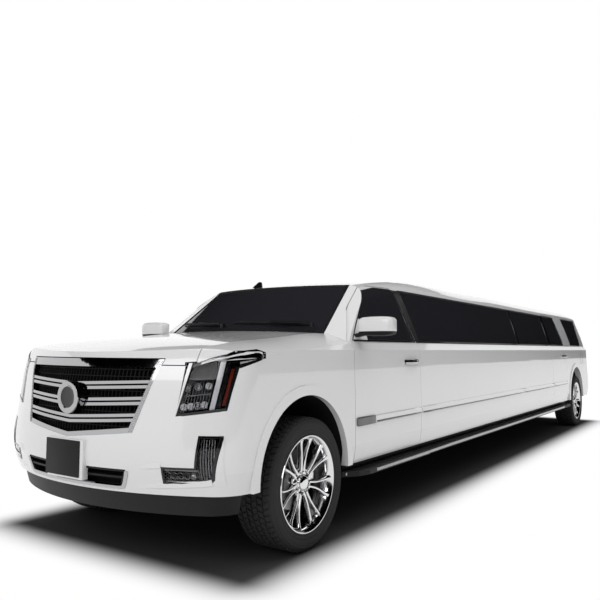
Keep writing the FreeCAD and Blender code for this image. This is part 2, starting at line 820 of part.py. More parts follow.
def pillar_span(gap):
    """Region between the outer edges of the windshield pillars, seen from the front."""
    low_half = windshield_low_half + windshield_pillar_width + gap
    high_half = windshield_high_half + windshield_pillar_width + gap
    points = [(-low_half, belt_z), (low_half, belt_z), (high_half, roof_seam_z), (-high_half, roof_seam_z)]
    return front_prism(points, -reach, at(front_door_rear - roof_lean) + gap)


def make_a_pillars():
    """Windshield pillars and their header, from the fenders up to the roof."""
    low, high = a_pillar_line(-moving_gap * 2, roof_seam_z)
    zone = side_prism([(-reach, low[1]), low, high, (-reach, high[1])], -reach, reach).fuse(pillar_span(0))
    behind = side_zone(front_door_rear, door_seam_slope, tail_station, 0, belt_z, roof_seam_z, roof_lean)
    return cabin_shell.common(zone).cut(hood_zone).cut(windshield_opening(0)).cut(behind).cut(mirrored(behind))


def make_windshield():
    """Windshield glass between the pillars."""
    return glass_layer.common(windshield_opening(fit_gap)).cut(hood_zone)


def make_roof():
    """Roof skin with its rails, from the header to the tailgate seam."""
    panel = cabin_shell.common(box(-reach, reach, -reach, reach, roof_seam_z, roof_z + overrun))
    half = tailgate_half_width + moving_gap
    return panel.cut(box(-half, half, at(tailgate_hinge_station) - moving_gap, reach, belt_z, roof_z + overrun))


def window_zone(low_front, low_rear, lean_front, lean_rear, gap):
    """Region of a side window, seen from the side, for both sides of the car."""
    low_z = belt_z + belt_frame / 2 + gap
    high_z = door_top_z - door_header / 4 - gap
    share_up = (high_z - belt_z) / (window_top_z - belt_z)
    return side_prism([(at(low_front) + gap, low_z), (at(low_rear) - gap, low_z),
                       (at(low_rear - lean_rear * share_up) - gap, high_z),
                       (at(low_front - lean_front * share_up) + gap, high_z)], 0, flare_half_width + overrun)


def front_window(gap):
    """Front door window, whose front edge follows the windshield pillar."""
    zone = window_zone(front_door_front + door_frame_width, front_door_rear - door_frame_width,
                       -a_pillar_seam_run, pillar_lean, gap)
    return zone.cut(pillar_span(moving_gap + door_frame_width / 2 + gap))


def rear_window(gap):
    """Rear door window."""
    return window_zone(rear_door_front + door_frame_width, rear_door_rear - door_frame_width, 0, pillar_lean, gap)


def stretch_seam():
    """Station of the joint between the two lengths of side panel."""
    return share(front_door_rear, rear_door_front, stretch_seam_share)


def stretch_window(part, gap):
    """Long window of one length of side panel."""
    frame = door_frame_width
    if part == 0:
        return window_zone(front_door_rear + frame, stretch_seam() - frame / 2, pillar_lean, 0, gap)
    return window_zone(stretch_seam() + frame / 2, rear_door_front - frame, 0, 0, gap)


def quarter_window(gap):
    """Window behind the white pillar."""
    front = rear_door_rear + quarter_pillar_setback + quarter_pillar_width
    return window_zone(front, front + quarter_window_run, pillar_lean, -quarter_window_flare, gap)


def make_striker(rear):
    """Left latch striker that a door closes on, standing on the panel behind it."""
    slope = door_seam_slope
    gap = side_zone(rear + fit_gap, slope, rear + moving_gap, slope, striker_bottom_z,
                    striker_bottom_z + striker_height)
    outer = shoulder_half_width - striker_offset
    return gap.common(box(outer - striker_depth, outer, -reach, reach, striker_bottom_z,
                          striker_bottom_z + striker_height))


def make_stops(station, z_low, z_high):
    """Pair of rubber stops under the edge of the hood or the tailgate."""
    return [box(side * stop_half_place, side * (stop_half_place + stop_width), at(station),
                at(station) + stop_depth, z_low, z_high) for side in sides]


def make_front_door():
    """Left front door, lower panel and window frame in one."""
    slope = door_seam_slope
    low = side_zone(front_door_front, 0, front_door_rear, slope, body_bottom_z, belt_z)
    high = side_zone(front_door_front, 0, front_door_rear, slope, belt_z, door_top_z, 0,
                     pillar_lean * (door_top_z - belt_z) / (window_top_z - belt_z))
    corner, peak = a_pillar_line(0, door_top_z)
    pillar = side_prism([corner, (far, corner[1]), (far, peak[1]), peak], 0, flare_half_width + overrun)
    panel = lower_shell.common(low).fuse(cabin_shell.common(high).common(pillar))
    return panel.cut(front_window(0)).cut(pillar_span(moving_gap))


def make_rear_door():
    """Left rear door, lower panel and window frame in one."""
    slope = door_seam_slope
    lean = pillar_lean * (door_top_z - belt_z) / (window_top_z - belt_z)
    low = side_zone(rear_door_front, 0, rear_door_rear, slope, body_bottom_z, belt_z)
    high = side_zone(rear_door_front, 0, rear_door_rear, slope, belt_z, door_top_z, 0, lean)
    return lower_shell.common(low).fuse(cabin_shell.common(high)).cut(rear_window(0))


def make_stretch_panel(part):
    """Left side panel of one length of the stretch, from the sill to the roof."""
    slope = door_seam_slope
    lean = roof_lean
    if part == 0:
        ends = (front_door_rear + moving_gap, slope, stretch_seam(), 0)
    else:
        ends = (stretch_seam(), 0, rear_door_front - moving_gap, 0)
        lean = 0
    low = side_zone(*ends, body_bottom_z, belt_z)
    high = side_zone(*ends, belt_z, roof_seam_z, lean, 0)
    panel = lower_shell.common(low).fuse(cabin_shell.common(high)).cut(stretch_window(part, 0))
    if part == 0:
        panel = panel.fuse(make_striker(front_door_rear))
    return panel


def rear_bumper_zone():
    """Region of the rear bumper."""
    return box(-reach, reach, at(wheelbase + rear_bumper_run), reach, body_bottom_z, tailgate_bottom_z - moving_gap)


def tail_lamp_zone(side, gap):
    """Tall region of one tail lamp, seen from behind."""
    return box(side * (tail_lamp_inner_half + gap), side * (tail_lamp_outer_half - gap),
               at(tail_station - rear_bumper_run / 2), reach, tail_lamp_bottom_z + gap, tail_lamp_top_z - gap)


def tail_lamp_layer():
    """Outer layer of the rear corners, as deep as the tail lamps."""
    low = lower_outer.cut(body_form(tail_lamp_depth, body_bottom_z - overrun, belt_z + overrun))
    high = cabin_outer.common(above_belt).cut(greenhouse_form(tail_lamp_depth))
    return low.fuse(high)


def make_quarter_panel():
    """Left rear quarter with its wheel arch, window pillar and tail corner."""
    slope = door_seam_slope
    lean = roof_lean
    front = rear_door_rear + moving_gap
    low = side_zone(front, slope, tail_station * 2, 0, body_bottom_z, belt_z)
    high = side_zone(front, slope, tail_station * 2, 0, belt_z, roof_seam_z, lean, 0)
    panel = lower_shell.common(low).fuse(cabin_shell.common(high))
    half = tailgate_half_width + moving_gap
    opening = box(0, half, at(tail_station - rear_bumper_run), reach, body_bottom_z, roof_z)
    panel = panel.cut(opening).cut(rear_bumper_zone()).cut(quarter_window(0))
    panel = panel.cut(tail_layer.common(tail_lamp_zone(1, 0)))
    panel = panel.fuse(arch_flare(wheelbase, 1)).fuse(make_striker(rear_door_rear))
    return panel.cut(arch_disc(wheelbase, arch_radius, 1, housing_inner_half, flare_half_width + overrun))


def make_tail_lamp(side):
    """One tall tail lamp set into the rear corner."""
    return tail_layer.common(tail_lamp_zone(side, fit_gap))


def make_tailgate():
    """Tailgate from the roof seam down to the bumper."""
    half = tailgate_half_width
    zone = box(-half, half, at(tailgate_hinge_station), reach, tailgate_bottom_z, roof_z + overrun)
    panel = lower_shell.common(zone).fuse(cabin_shell.common(zone))
    return panel.cut(tailgate_window(0))


def tailgate_window(gap):
    """Region of the tailgate glass, seen from behind."""
    half = tailgate_glass_half - gap
    return box(-half, half, at(tailgate_hinge_station), reach, tailgate_glass_bottom_z + gap,
               door_top_z - door_header / 4 - gap)


def make_rear_bumper():
    """Rear bumper, wrapped round both corners."""
    low_z = tailgate_bottom_z - moving_gap
    stops = make_stops(tail_station - tail_inset_bottom - side_wall * 2 / 3, low_z, tailgate_bottom_z - fit_gap)
    return fused([lower_shell.common(rear_bumper_zone())] + stops)


def make_mirror():
    """Left door mirror on its arm."""
    y = at(mirror_station)
    shell = box(mirror_inner_half, mirror_outer_half, y, y + mirror_length, mirror_bottom_z, mirror_top_z)
    shell = shell.makeFillet(mirror_round, shell.Edges)
    inner = belt_half_width - greenhouse_wall
    arm = box(inner, mirror_inner_half + mirror_round * 2, y + mirror_length / 4, y + mirror_length * 3 / 4,
              mirror_bottom_z - mirror_arm_height / 2, mirror_bottom_z + mirror_arm_height / 2)
    return shell.fuse(arm.cut(cabin_outer).cut(lower_outer))


def make_running_board():
    """Left step beside the rocker, wider along the front door."""
    inner = rocker_outer_half
    start = at(board_start)
    wide_end = at(board_wide_end)
    end = at(rear_door_rear)
    step = board_half_width - board_rear_half_width
    round_in = board_nose_radius
    points = [(inner, start), (inner + overrun / 3, start), (board_half_width - round_in / 4, start + round_in),
              (board_half_width, start + round_in * 2), (board_half_width, wide_end),
              (board_rear_half_width, wide_end + step), (board_rear_half_width, end - round_in),
              (inner + overrun / 2, end), (inner, end)]
    return plan_prism(points, board_bottom_z, board_top_z)



def make_side_windows():
    """Glass of the stretch and of the rear quarters on the left side."""
    openings = [stretch_window(0, fit_gap), stretch_window(1, fit_gap), quarter_window(fit_gap)]
    return [glass_layer.common(opening) for opening in openings]


def make_door_glass(opening):
    """Glass of one left door."""
    return glass_layer.common(opening)


def make_tailgate_glass():
    """Glass of the tailgate."""
    return glass_layer.common(tailgate_window(fit_gap))


def make_rocker():
    """Left rocker beam under the doors and side panels."""
    return box(rocker_inner_half, rocker_outer_half, at(arch_radius + fit_gap), at(rear_door_rear),
               rocker_bottom_z, rocker_top_z)


def rear_floor_station():
    """Station where the floor and the frame rails rise for the rear axle."""
    return rear_door_rear - arch_radius / 4


def frame_ends():
    """Y of the front end of the frame rails, of the rise over the rear axle and of the rear end."""
    return (at(-front_overhang + frame_front_setback), at(rear_floor_station()),
            at(tail_station - frame_rear_setback))


def make_rail(side):
    """One frame rail, which rises over the rear axle."""
    front, kick, rear = frame_ends()
    rise = rail_kick
    outline = [(front, rail_bottom_z), (kick, rail_bottom_z), (kick + rise, rail_bottom_z + rise),
               (rear, rail_bottom_z + rise), (rear, rail_top_z + rise), (kick, rail_top_z + rise),
               (kick - rise, rail_top_z), (front, rail_top_z)]
    return side_prism(outline, side * rail_inner_half, side * rail_outer_half)


def make_frame_members():
    """Crossmembers between the rails, bumper beams, outriggers to the rockers and body mounts."""
    front, kick, rear = frame_ends()
    rise = rail_kick
    depth = rail_top_z - rail_bottom_z
    wide = crossmember_width
    pieces = []
    for number in range(len(crossmember_shares)):
        y = crossmember_station(number)
        pieces.append(box(-rail_inner_half, rail_inner_half, y, y + wide, rail_bottom_z, rail_bottom_z + depth / 2))
    for y in (rear - wide, kick + rise + wide):
        pieces.append(box(-rail_inner_half, rail_inner_half, y, y + wide, rail_bottom_z + rise,
                          rail_bottom_z + rise + depth / 2))
    for along in outrigger_shares:
        y = share(at(fender_door_seam), kick - rise, along)
        for side in sides:
            pieces.append(box(side * rail_outer_half, side * rocker_inner_half, y, y + wide, rocker_bottom_z,
                              rocker_top_z))
            middle = Vector(side * (rail_inner_half + rail_outer_half) / 2, y + wide / 2, rail_top_z)
            pieces.append(Part.makeCylinder(body_mount_radius, floor_z - rail_top_z, middle))
    beam_half = rail_outer_half + bumper_beam_overhang
    pieces.append(box(-beam_half, beam_half, front - bumper_beam_depth, front, body_bottom_z + fit_gap,
                      rail_top_z))
    pieces.append(box(-beam_half, beam_half, rear, rear + bumper_beam_depth, rail_bottom_z + rise - depth / 2,
                      rail_bottom_z + rise + depth / 2))
    return pieces


def make_floor():
    """Floor pan with its step over the rear axle, and the firewall ahead of it."""
    front = at(arch_radius)
    step = at(rear_floor_station()) - rail_kick * 2
    rear = at(tail_station) - side_wall - tailgate_top_inset / 2
    thick = floor_thickness
    outline = [(front, floor_z), (step, floor_z), (step, floor_z + floor_rise), (rear, floor_z + floor_rise),
               (rear, floor_z + floor_rise + thick), (step - thick, floor_z + floor_rise + thick),
               (step - thick, floor_z + thick), (front + thick, floor_z + thick),
               (front + thick, firewall_top_z), (front, firewall_top_z)]
    wide = flare_half_width
    pan = side_prism(outline, -wide, wide).common(lower_inner)
    clear = moving_gap * 2
    for side in sides:
        for start, end in ((front_door_front, front_door_rear), (rear_door_front, rear_door_rear)):
            edge = side * (tuck_half_width - side_wall - clear)
            pan = pan.cut(box(edge, side * wide, at(start) - side_wall / 2, at(end) + clear,
                              floor_z - overrun, belt_z))
        pan = pan.cut(axle_disc(side * (housing_inner_half - fit_gap), side * wide, at(wheelbase - arch_centre_forward),
                                tyre_radius + arch_centre_rise, housing_radius + housing_wall + fit_gap))
        pan = pan.cut(axle_disc(side * (housing_inner_half - fit_gap), side * wide, at(-arch_centre_forward),
                                tyre_radius + arch_centre_rise, housing_radius + housing_wall + fit_gap))
    return pan


def make_housing(axle_station, body):
    """Left wheel housing: half drum with an inner wall."""
    y = at(axle_station - arch_centre_forward)
    z = tyre_radius + arch_centre_rise
    wide = flare_inner_half - fit_gap
    outer = axle_disc(housing_inner_half, wide, y, z, housing_radius + housing_wall)
    inner = axle_disc(housing_inner_half + housing_wall, wide + overrun, y, z, housing_radius)
    keep = box(0, wide, -reach, reach, z, belt_z)
    return outer.cut(inner).common(keep).common(body)


def make_tyre(side, axle_station):
    """Tyre: a round-shouldered tread with bulged side walls."""
    half = tyre_width / 2
    shoulder = tyre_radius * tyre_shoulder_share
    bead = rim_radius * bead_share
    points = [(bead, -half * bead_width_share), (rim_radius, -half * bead_width_share),
              (share(rim_radius, tyre_radius, 1 / 2), -half), (shoulder, -half * tread_share),
              (tyre_radius, -half * tread_crown_share)]
    mate = [(radius, -x) for radius, x in reversed(points)]
    return wheel_solid(points + mate, side, axle_station)


def wheel_solid(points, side, axle_station):
    """Ring turned about a wheel's axis from (radius, x) points."""
    centre = Vector(side * track / 2, at(axle_station), tyre_radius)
    corners = [centre + Vector(side * x, 0, radius) for radius, x in points]
    face = Part.Face(Part.makePolygon(corners + corners[:1]))
    return face.revolve(centre, Vector(1, 0, 0), 360)


def make_wheel(side, axle_station):
    """Wheel: stepped rim, seven double spokes, hub and brake disc."""
    half = rim_width / 2
    bead = rim_radius * bead_share - fit_gap
    lip = rim_radius
    well = bead - rim_thickness * 2
    inner = well - rim_thickness
    edge = half * tyre_width / rim_width * bead_width_share + fit_gap
    rim = [(inner, -edge), (lip, -edge - rim_thickness), (lip, -edge), (bead, -edge), (bead, -edge / 2),
           (well, -edge / 3), (well, edge / 3), (bead, edge / 2), (bead, edge), (lip, edge),
           (lip, edge + rim_thickness), (lip - rim_thickness, edge + rim_thickness),
           (inner + rim_thickness, edge / 2), (inner, edge / 3)]
    pieces = [wheel_solid(rim, side, axle_station)]
    face_x = edge * spoke_face_share
    hub = [(spindle_radius + fit_gap, face_x - hub_depth), (hub_radius, face_x - hub_depth),
           (hub_radius, face_x - hub_dish), (hub_radius / 2, face_x), (spindle_radius + fit_gap, face_x)]
    pieces.append(wheel_solid(hub, side, axle_station))
    centre = Vector(side * track / 2, at(axle_station), tyre_radius)
    for number in range(spoke_count):
        for twin in (-1, 1):
            low = hub_radius * 3 / 4
            high = inner + rim_thickness / 2
            near = twin * spoke_gap / 2
            wide = twin * spoke_spread / 2
            thin = twin * spoke_width
            x0 = side * (face_x - spoke_depth)
            corners = [Vector(x0, near, low), Vector(x0, near + thin, low), Vector(x0, wide + thin, high),
                       Vector(x0, wide, high)]
            spoke = Part.Face(Part.makePolygon(corners + corners[:1])).extrude(Vector(side * spoke_depth, 0, 0))
            spoke.rotate(Vector(), Vector(1, 0, 0), 360 * number / spoke_count)
            spoke.translate(centre)
            pieces.append(spoke)
    return fused(pieces)


def make_knuckle():
    """Left front knuckle: upright on the kingpin, spindle and steering arm."""
    y = at(0)
    z = tyre_radius
    half = knuckle_half_height - knuckle_clear
    inner = kingpin_half_track - knuckle_thickness / 2
    outer = kingpin_half_track + knuckle_thickness / 2
    upright = box(inner, outer, y - knuckle_thickness, y + knuckle_thickness, z - half, z + half)
    reach_up = knuckle_half_height + arm_thickness
    pin = Part.makeCylinder(kingpin_radius, reach_up * 2, Vector(kingpin_half_track, y, z - reach_up))
    spindle = axle_disc(kingpin_half_track, track / 2 + spindle_reach, y, z, spindle_radius)
    arm = box(inner, outer, y, y + steering_arm_length, z - half, z - half + arm_thickness)
    return fused([upright, pin, spindle, arm])


def make_suspension():
    """Left front control arms on a column beside the frame rail."""
    y = at(0)
    wide = arm_eye_radius
    column = rail_outer_half + suspension_column
    high_z = tyre_radius + knuckle_half_height
    low_z = tyre_radius - knuckle_half_height - arm_thickness
    pieces = [box(rail_outer_half, column, y - wide, y + wide, low_z, high_z + arm_thickness)]
    for z in (low_z, high_z):
        arm = box(rail_outer_half, kingpin_half_track, y - wide, y + wide, z, z + arm_thickness)
        eye = Part.makeCylinder(wide, arm_thickness, Vector(kingpin_half_track, y, z))
        pieces += [arm, eye]
    bore = Part.makeCylinder(kingpin_radius + fit_gap, high_z + far, Vector(kingpin_half_track, y, 0))
    return fused(pieces).cut(bore)


def make_rear_axle():
    """Rear axle tube with differential, spindles and spring columns, and the propeller shaft."""
    y = at(wheelbase)
    z = tyre_radius
    tube_end = track / 2 - axle_tube_radius / 4
    spindle_end = track / 2 + spindle_reach
    pieces = [axle_disc(-tube_end, tube_end, y, z, axle_tube_radius),
              axle_disc(-spindle_end, spindle_end, y, z, spindle_radius),
              axle_disc(-differential_half_width, differential_half_width, y, z, differential_radius)]
    rail_middle = (rail_inner_half + rail_outer_half) / 2
    for side in sides:
        pieces.append(Part.makeCylinder(spring_column_radius, rail_bottom_z + rail_kick - z,
                                        Vector(side * rail_middle, y, z)))
    start = at(engine_rear_station)
    pieces.append(Part.makeCylinder(shaft_radius, y - start, Vector(0, start, shaft_z), Vector(0, 1, 0)))
    return fused(pieces)


def make_engine():
    """Engine and gearbox as one block on the front crossmember."""
    bottom = rail_bottom_z + (rail_top_z - rail_bottom_z) / 2
    return box(-engine_half_width, engine_half_width, at(engine_front_station), at(engine_rear_station),
               bottom, engine_top_z)


def crossmember_station(number):
    """Y of the front face of one crossmember between the rails."""
    front, kick, rear = frame_ends()
    return share(front, kick - rail_kick, crossmember_shares[number])


def make_fuel_tank():
    """Fuel tank between the propeller shaft and the left rail."""
    front = crossmember_station(-3) + crossmember_width + fit_gap
    rear = crossmember_station(-2) - fit_gap
    tank = box(shaft_radius * 2, rail_inner_half - fit_gap, front, rear, tank_bottom_z, rail_top_z)
    return tank.makeFillet(tank_round, tank.Edges)


def make_exhaust():
    """Exhaust pipe with a silencer, hung under the crossmembers."""
    z = rail_bottom_z - exhaust_radius - fit_gap
    x = -rail_inner_half / 2
    front = crossmember_station(1)
    rear = at(rear_floor_station())
    pipe = Part.makeCylinder(exhaust_radius, rear - front, Vector(x, front, z), Vector(0, 1, 0))
    silencer = crossmember_station(4) + crossmember_width + overrun
    drum = Part.makeCylinder(exhaust_radius * 5 / 2, silencer_length, Vector(x, silencer, z), Vector(0, 1, 0))
    return fused([pipe, drum])


def make_dashboard():
    """Dashboard across the front of the cabin, with the steering wheel on its column."""
    front = at(arch_radius) + floor_thickness
    deep = dash_depth
    points = [(front, dash_bottom_z), (front + deep / 2, dash_bottom_z),
              (front + deep, share(dash_bottom_z, belt_z, 1 / 2)),
              (front + deep - fascia_lean, belt_z - floor_thickness), (front, firewall_top_z)]
    panel = side_prism(points, -dash_half_width, dash_half_width)
    centre = Vector(wheel_offset, front + deep + steering_reach, share(dash_bottom_z, belt_z, steering_height_share))
    way = Vector(0, -math.cos(math.radians(steering_tilt)), -math.sin(math.radians(steering_tilt)))
    ring = Part.makeTorus(steering_wheel_radius, steering_rim, centre, way * -1)
    column = Part.makeCylinder(steering_rim * 2, steering_reach * 3 / 2, centre, way)
    spokes = []
    for turn in (0, 90, 180):
        spoke = Part.makeBox(steering_wheel_radius, steering_rim * 2, steering_rim,
                             Vector(0, -steering_rim, -steering_rim / 2))
        spoke.rotate(Vector(), Vector(0, 0, 1), turn)
        spoke.rotate(Vector(), Vector(1, 0, 0), -90 + steering_tilt)
        spoke.translate(centre)
        spokes.append(spoke)
    return fused([panel, ring, column] + spokes)


def make_seat(x):
    """One front seat with its back and headrest."""
    floor = floor_z + floor_thickness
    front = at(seat_station)
    high = floor + seat_height
    back = front + seat_depth
    lean = seat_back_lean
    points = [(front, floor), (back, floor), (back, high), (back + lean, high + seat_back_height),
              (back + lean - seat_thickness, high + seat_back_height), (back - seat_thickness, high),
              (front, high)]
    body = side_prism(points, x - seat_width / 2, x + seat_width / 2)
    rest = box(x - seat_width / 4, x + seat_width / 4, back + lean - seat_thickness, back + lean,
               high + seat_back_height, high + seat_back_height + seat_thickness * 3 / 2)
    return body.fuse(rest)


def make_lounge_seats():
    """Long bench on the right side and the bench across the rear of the lounge."""
    floor = floor_z + floor_thickness
    high = floor + seat_height
    wall = -(belt_half_width - side_wall - lounge_clear)
    front = at(partition_station + lounge_clear)
    rear = at(rear_door_front - lounge_clear)
    profile = [(wall, floor), (wall + seat_depth, floor), (wall + seat_depth, high),
               (wall + seat_thickness, high), (wall + seat_thickness / 2, belt_z - lounge_clear),
               (wall, belt_z - lounge_clear)]
    bench = front_prism(profile, front, rear)
    end = at(rear_floor_station()) - rail_kick * 2 - floor_thickness - fit_gap
    points = [(end - seat_depth, floor), (end, floor), (end, belt_z - lounge_clear),
              (end - seat_thickness, belt_z - lounge_clear), (end - seat_thickness, high), (end - seat_depth, high)]
    rear_bench = side_prism(points, -rear_bench_half, rear_bench_half)
    return [bench, rear_bench]


def make_partition():
    """Wall between the driver and the lounge, open at its window."""
    floor = floor_z + floor_thickness
    y = at(partition_station)
    half = belt_half_width - side_wall - lounge_clear
    wall = box(-half, half, y, y + floor_thickness * 2, floor, partition_top_z)
    window = box(-half * 2 / 3, half * 2 / 3, y - overrun, y + overrun * 2, belt_z - lounge_clear,
                 partition_top_z - lounge_clear)
    return wall.cut(window)


tail_layer = tail_lamp_layer()
os.makedirs("parts", exist_ok=True)
save("frame_rails", [make_rail(side) for side in sides])
save("frame_members", make_frame_members())
arms = make_suspension()
save("front_suspension", [arms, mirrored(arms)])
save("rear_axle", [make_rear_axle()])
save("engine", [make_engine()])
save("fuel_tank", [make_fuel_tank()])
save("exhaust", [make_exhaust()])
save("floor_pan", [make_floor()])
rocker = make_rocker()
save("rockers", [rocker, mirrored(rocker)])
front_housing = make_housing(0, front_inner)
arm_slot = box(housing_inner_half - overrun, housing_inner_half + overrun, at(0) - arm_eye_radius * 2,
               at(0) + arm_eye_radius * 2, 0, tyre_radius + knuckle_half_height + arm_thickness + overrun)
front_housing = front_housing.cut(arm_slot)
rear_housing = make_housing(wheelbase, lower_inner)
save("wheel_housings", [front_housing, mirrored(front_housing), rear_housing, mirrored(rear_housing)])
knuckle = make_knuckle()
save("knuckle_left", [knuckle])
save("knuckle_right", [mirrored(knuckle)])
for place, axle_station in (("front", 0), ("rear", wheelbase)):
    for side, name in ((1, "left"), (-1, "right")):
        save("tyre_" + place + "_" + name, [make_tyre(side, axle_station)])
        save("wheel_" + place + "_" + name, [make_wheel(side, axle_station)])
save("hood", [make_hood()])
save("cowl", [make_cowl()])
fender = make_fender(1)
save("fenders", [fender, mirrored(fender)])
save("front_bumper", [make_front_bumper()])
save("front_valance", [make_front_valance()])
save("grille", [make_grille()])
save("grille_backing", [make_grille_backing()])
save("lower_intake", [make_intake()])
save("headlamps", [make_headlamp(side) for side in sides])
save("fog_lamps", [make_fog_lamp(side) for side in sides])
save("a_pillars", [make_a_pillars()])
save("windshield", [make_windshield()])
save("roof", [make_roof()])
for name, door, opening in (("front", make_front_door(), front_window(fit_gap)),
                            ("rear", make_rear_door(), rear_window(fit_gap))):
    glass = make_door_glass(opening)
    for side_name, panel, pane in (("left", door, glass), ("right", mirrored(door), mirrored(glass))):
        save("door_" + name + "_" + side_name, [panel])
        save("glass_" + name + "_" + side_name, [pane])
for number, name in enumerate(("front", "rear")):
    panel = make_stretch_panel(number)
    save("stretch_panels_" + name, [panel, mirrored(panel)])
quarter = make_quarter_panel()
save("quarter_panels", [quarter, mirrored(quarter)])
panes = make_side_windows()
save("side_windows", panes + [mirrored(pane) for pane in panes])
save("tail_lamps", [make_tail_lamp(side) for side in sides])
save("tailgate", [make_tailgate()])
save("tailgate_glass", [make_tailgate_glass()])
save("rear_bumper", [make_rear_bumper()])
mirror = make_mirror()
save("mirror_left", [mirror])
save("mirror_right", [mirrored(mirror)])
board = make_running_board()
save("running_boards", [board, mirrored(board)])
save("dashboard", [make_dashboard()])
save("front_seats", [make_seat(side * wheel_offset) for side in sides])
save("lounge_seats", make_lounge_seats())
save("partition", [make_partition()])
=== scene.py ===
"""Finishes, trim, wheels, lamps, seats and studio for a white stretch limousine.

It runs in Blender 4.5 around the car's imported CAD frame. Lengths are metres.
The front faces -Y, the car's left side is +X and the tyres stand on z = 0.
Stations are distances behind the front axle.
"""
import json
import math

import bmesh
import bpy
from bpy.props import FloatProperty, FloatVectorProperty, IntProperty, PointerProperty
from mathutils import Matrix, Vector
from mathutils.bvhtree import BVHTree


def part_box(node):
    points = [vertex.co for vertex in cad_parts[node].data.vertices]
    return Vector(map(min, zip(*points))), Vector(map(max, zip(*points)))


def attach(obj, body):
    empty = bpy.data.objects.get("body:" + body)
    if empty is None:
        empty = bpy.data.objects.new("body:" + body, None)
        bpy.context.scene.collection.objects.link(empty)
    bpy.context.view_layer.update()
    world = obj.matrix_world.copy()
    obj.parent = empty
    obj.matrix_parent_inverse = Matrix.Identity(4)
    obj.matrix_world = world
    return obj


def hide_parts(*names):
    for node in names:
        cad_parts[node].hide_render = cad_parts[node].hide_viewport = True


bl_info = {
    "name": "Stretch limousine looks",
    "version": (1, 0, 0),
    "blender": (4, 5, 0),
    "location": "View3D > Sidebar > Limousine",
    "description": "Finishes, trim, wheels, lamps, seats and studio for a stretch limousine",
    "category": "Object",
}

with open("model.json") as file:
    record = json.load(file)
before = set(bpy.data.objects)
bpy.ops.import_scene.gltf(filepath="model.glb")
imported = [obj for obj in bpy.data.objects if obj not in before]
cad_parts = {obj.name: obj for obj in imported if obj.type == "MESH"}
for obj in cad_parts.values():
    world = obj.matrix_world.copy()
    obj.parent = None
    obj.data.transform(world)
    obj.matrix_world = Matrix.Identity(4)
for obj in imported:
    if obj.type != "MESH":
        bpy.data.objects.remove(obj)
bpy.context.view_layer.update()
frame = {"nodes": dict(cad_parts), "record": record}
nodes = frame["nodes"]

FRONT_AXLE_Y = -4.1095
WHEELBASE = 8.026
AXLE_Z = 0.4075
HALF_TRACK = 0.8725
BELT_Z = 1.294
SIDES = {"left": 1, "right": -1}
AXLES = {"front": 0.0, "rear": WHEELBASE}
SHARP_ANGLE = 34.0


def at(station):
    """Y of a place this far behind the front axle."""
    return FRONT_AXLE_Y + station


def mix(low, high, share):
    """Value this share of the way from low to high."""
    return low + (high - low) * share


# Settings


class FinishSettings(bpy.types.PropertyGroup):
    """Colours of the car's finishes."""

    paint: FloatVectorProperty(name="Paint", description="Body colour", size=3, subtype="COLOR",
                               default=(0.80, 0.80, 0.805))
    chrome: FloatVectorProperty(name="Chrome", description="Colour of the polished trim", size=3,
                                subtype="COLOR", default=(0.46, 0.46, 0.47))
    glass: FloatVectorProperty(name="Glass tint", description="Light that one face of a window lets through",
                               size=3, subtype="COLOR", default=(0.02, 0.02, 0.021))
    leather: FloatVectorProperty(name="Leather", description="Colour of the seat covers", size=3,
                                 subtype="COLOR", default=(0.045, 0.043, 0.042))


class WheelSettings(bpy.types.PropertyGroup):
    """Sizes of the wheels and tyres."""

    spoke_pairs: IntProperty(name="Spoke pairs", description="Double spokes on each wheel", default=7, min=3)
    lug_nuts: IntProperty(name="Lug nuts", description="Nuts round each hub", default=6, min=3)
    tread_blocks: IntProperty(name="Tread blocks", description="Blocks round each tread rib", default=64,
                              min=12)
    groove_depth: FloatProperty(name="Groove depth", description="Depth of the tread", default=0.009,
                                unit="LENGTH")


class TrimSettings(bpy.types.PropertyGroup):
    """Sizes of the mouldings on the body."""

    moulding_height: FloatProperty(name="Side moulding", description="Height of the door moulding",
                                   default=0.056, unit="LENGTH")
    moulding_depth: FloatProperty(name="Side moulding depth", default=0.012, unit="LENGTH",
                                  description="How far the door moulding stands out")
    belt_height: FloatProperty(name="Belt strip", description="Height of the strip under the windows",
                               default=0.013, unit="LENGTH")


class StudioSettings(bpy.types.PropertyGroup):
    """Camera and light."""

    lens: FloatProperty(name="Lens", description="Focal length on a 36 mm sensor", default=38.42,
                        unit="CAMERA")
    sky: FloatProperty(name="Sky", description="Strength of the even light from all round", default=0.40)
    key: FloatProperty(name="Key", description="Power of the lamp above the car", default=420.0, unit="POWER")
    front: FloatProperty(name="Front", description="Power of the lamp ahead of the car", default=230.0,
                         unit="POWER")


# Mesh tools


def start():
    """An empty mesh under construction."""
    return bmesh.new()


def sweep(mesh, rings, closed=False):
    """Closed skin through a row of rings of points."""
    loops = []
    for ring in rings:
        corners = [mesh.verts.new(point) for point in ring]
        loops.append([mesh.edges.new((corners[i - 1], corners[i])) for i in range(len(corners))])
    pairs = list(zip(loops, loops[1:]))
    if closed:
        pairs.append((loops[-1], loops[0]))
    for first, second in pairs:
        bmesh.ops.bridge_loops(mesh, edges=first + second)
    if not closed:
        for loop in (loops[0], loops[-1]):
            bmesh.ops.edgeloop_fill(mesh, edges=loop)


def slab(width, depth, cut):
    """Outline of a rectangle with cut corners, as (across, out) pairs round its middle."""
    w, d = width / 2, depth / 2
    return [(-w, cut - d), (cut - w, -d), (w - cut, -d), (w, cut - d), (w, d - cut), (w - cut, d),
            (cut - w, d), (-w, d - cut)]


def oval(width, depth, count=12):
    """Outline of an ellipse as (across, out) pairs."""
    turns = [2 * math.pi * i / count for i in range(count)]
    return [(math.cos(turn) * width / 2, math.sin(turn) * depth / 2) for turn in turns]


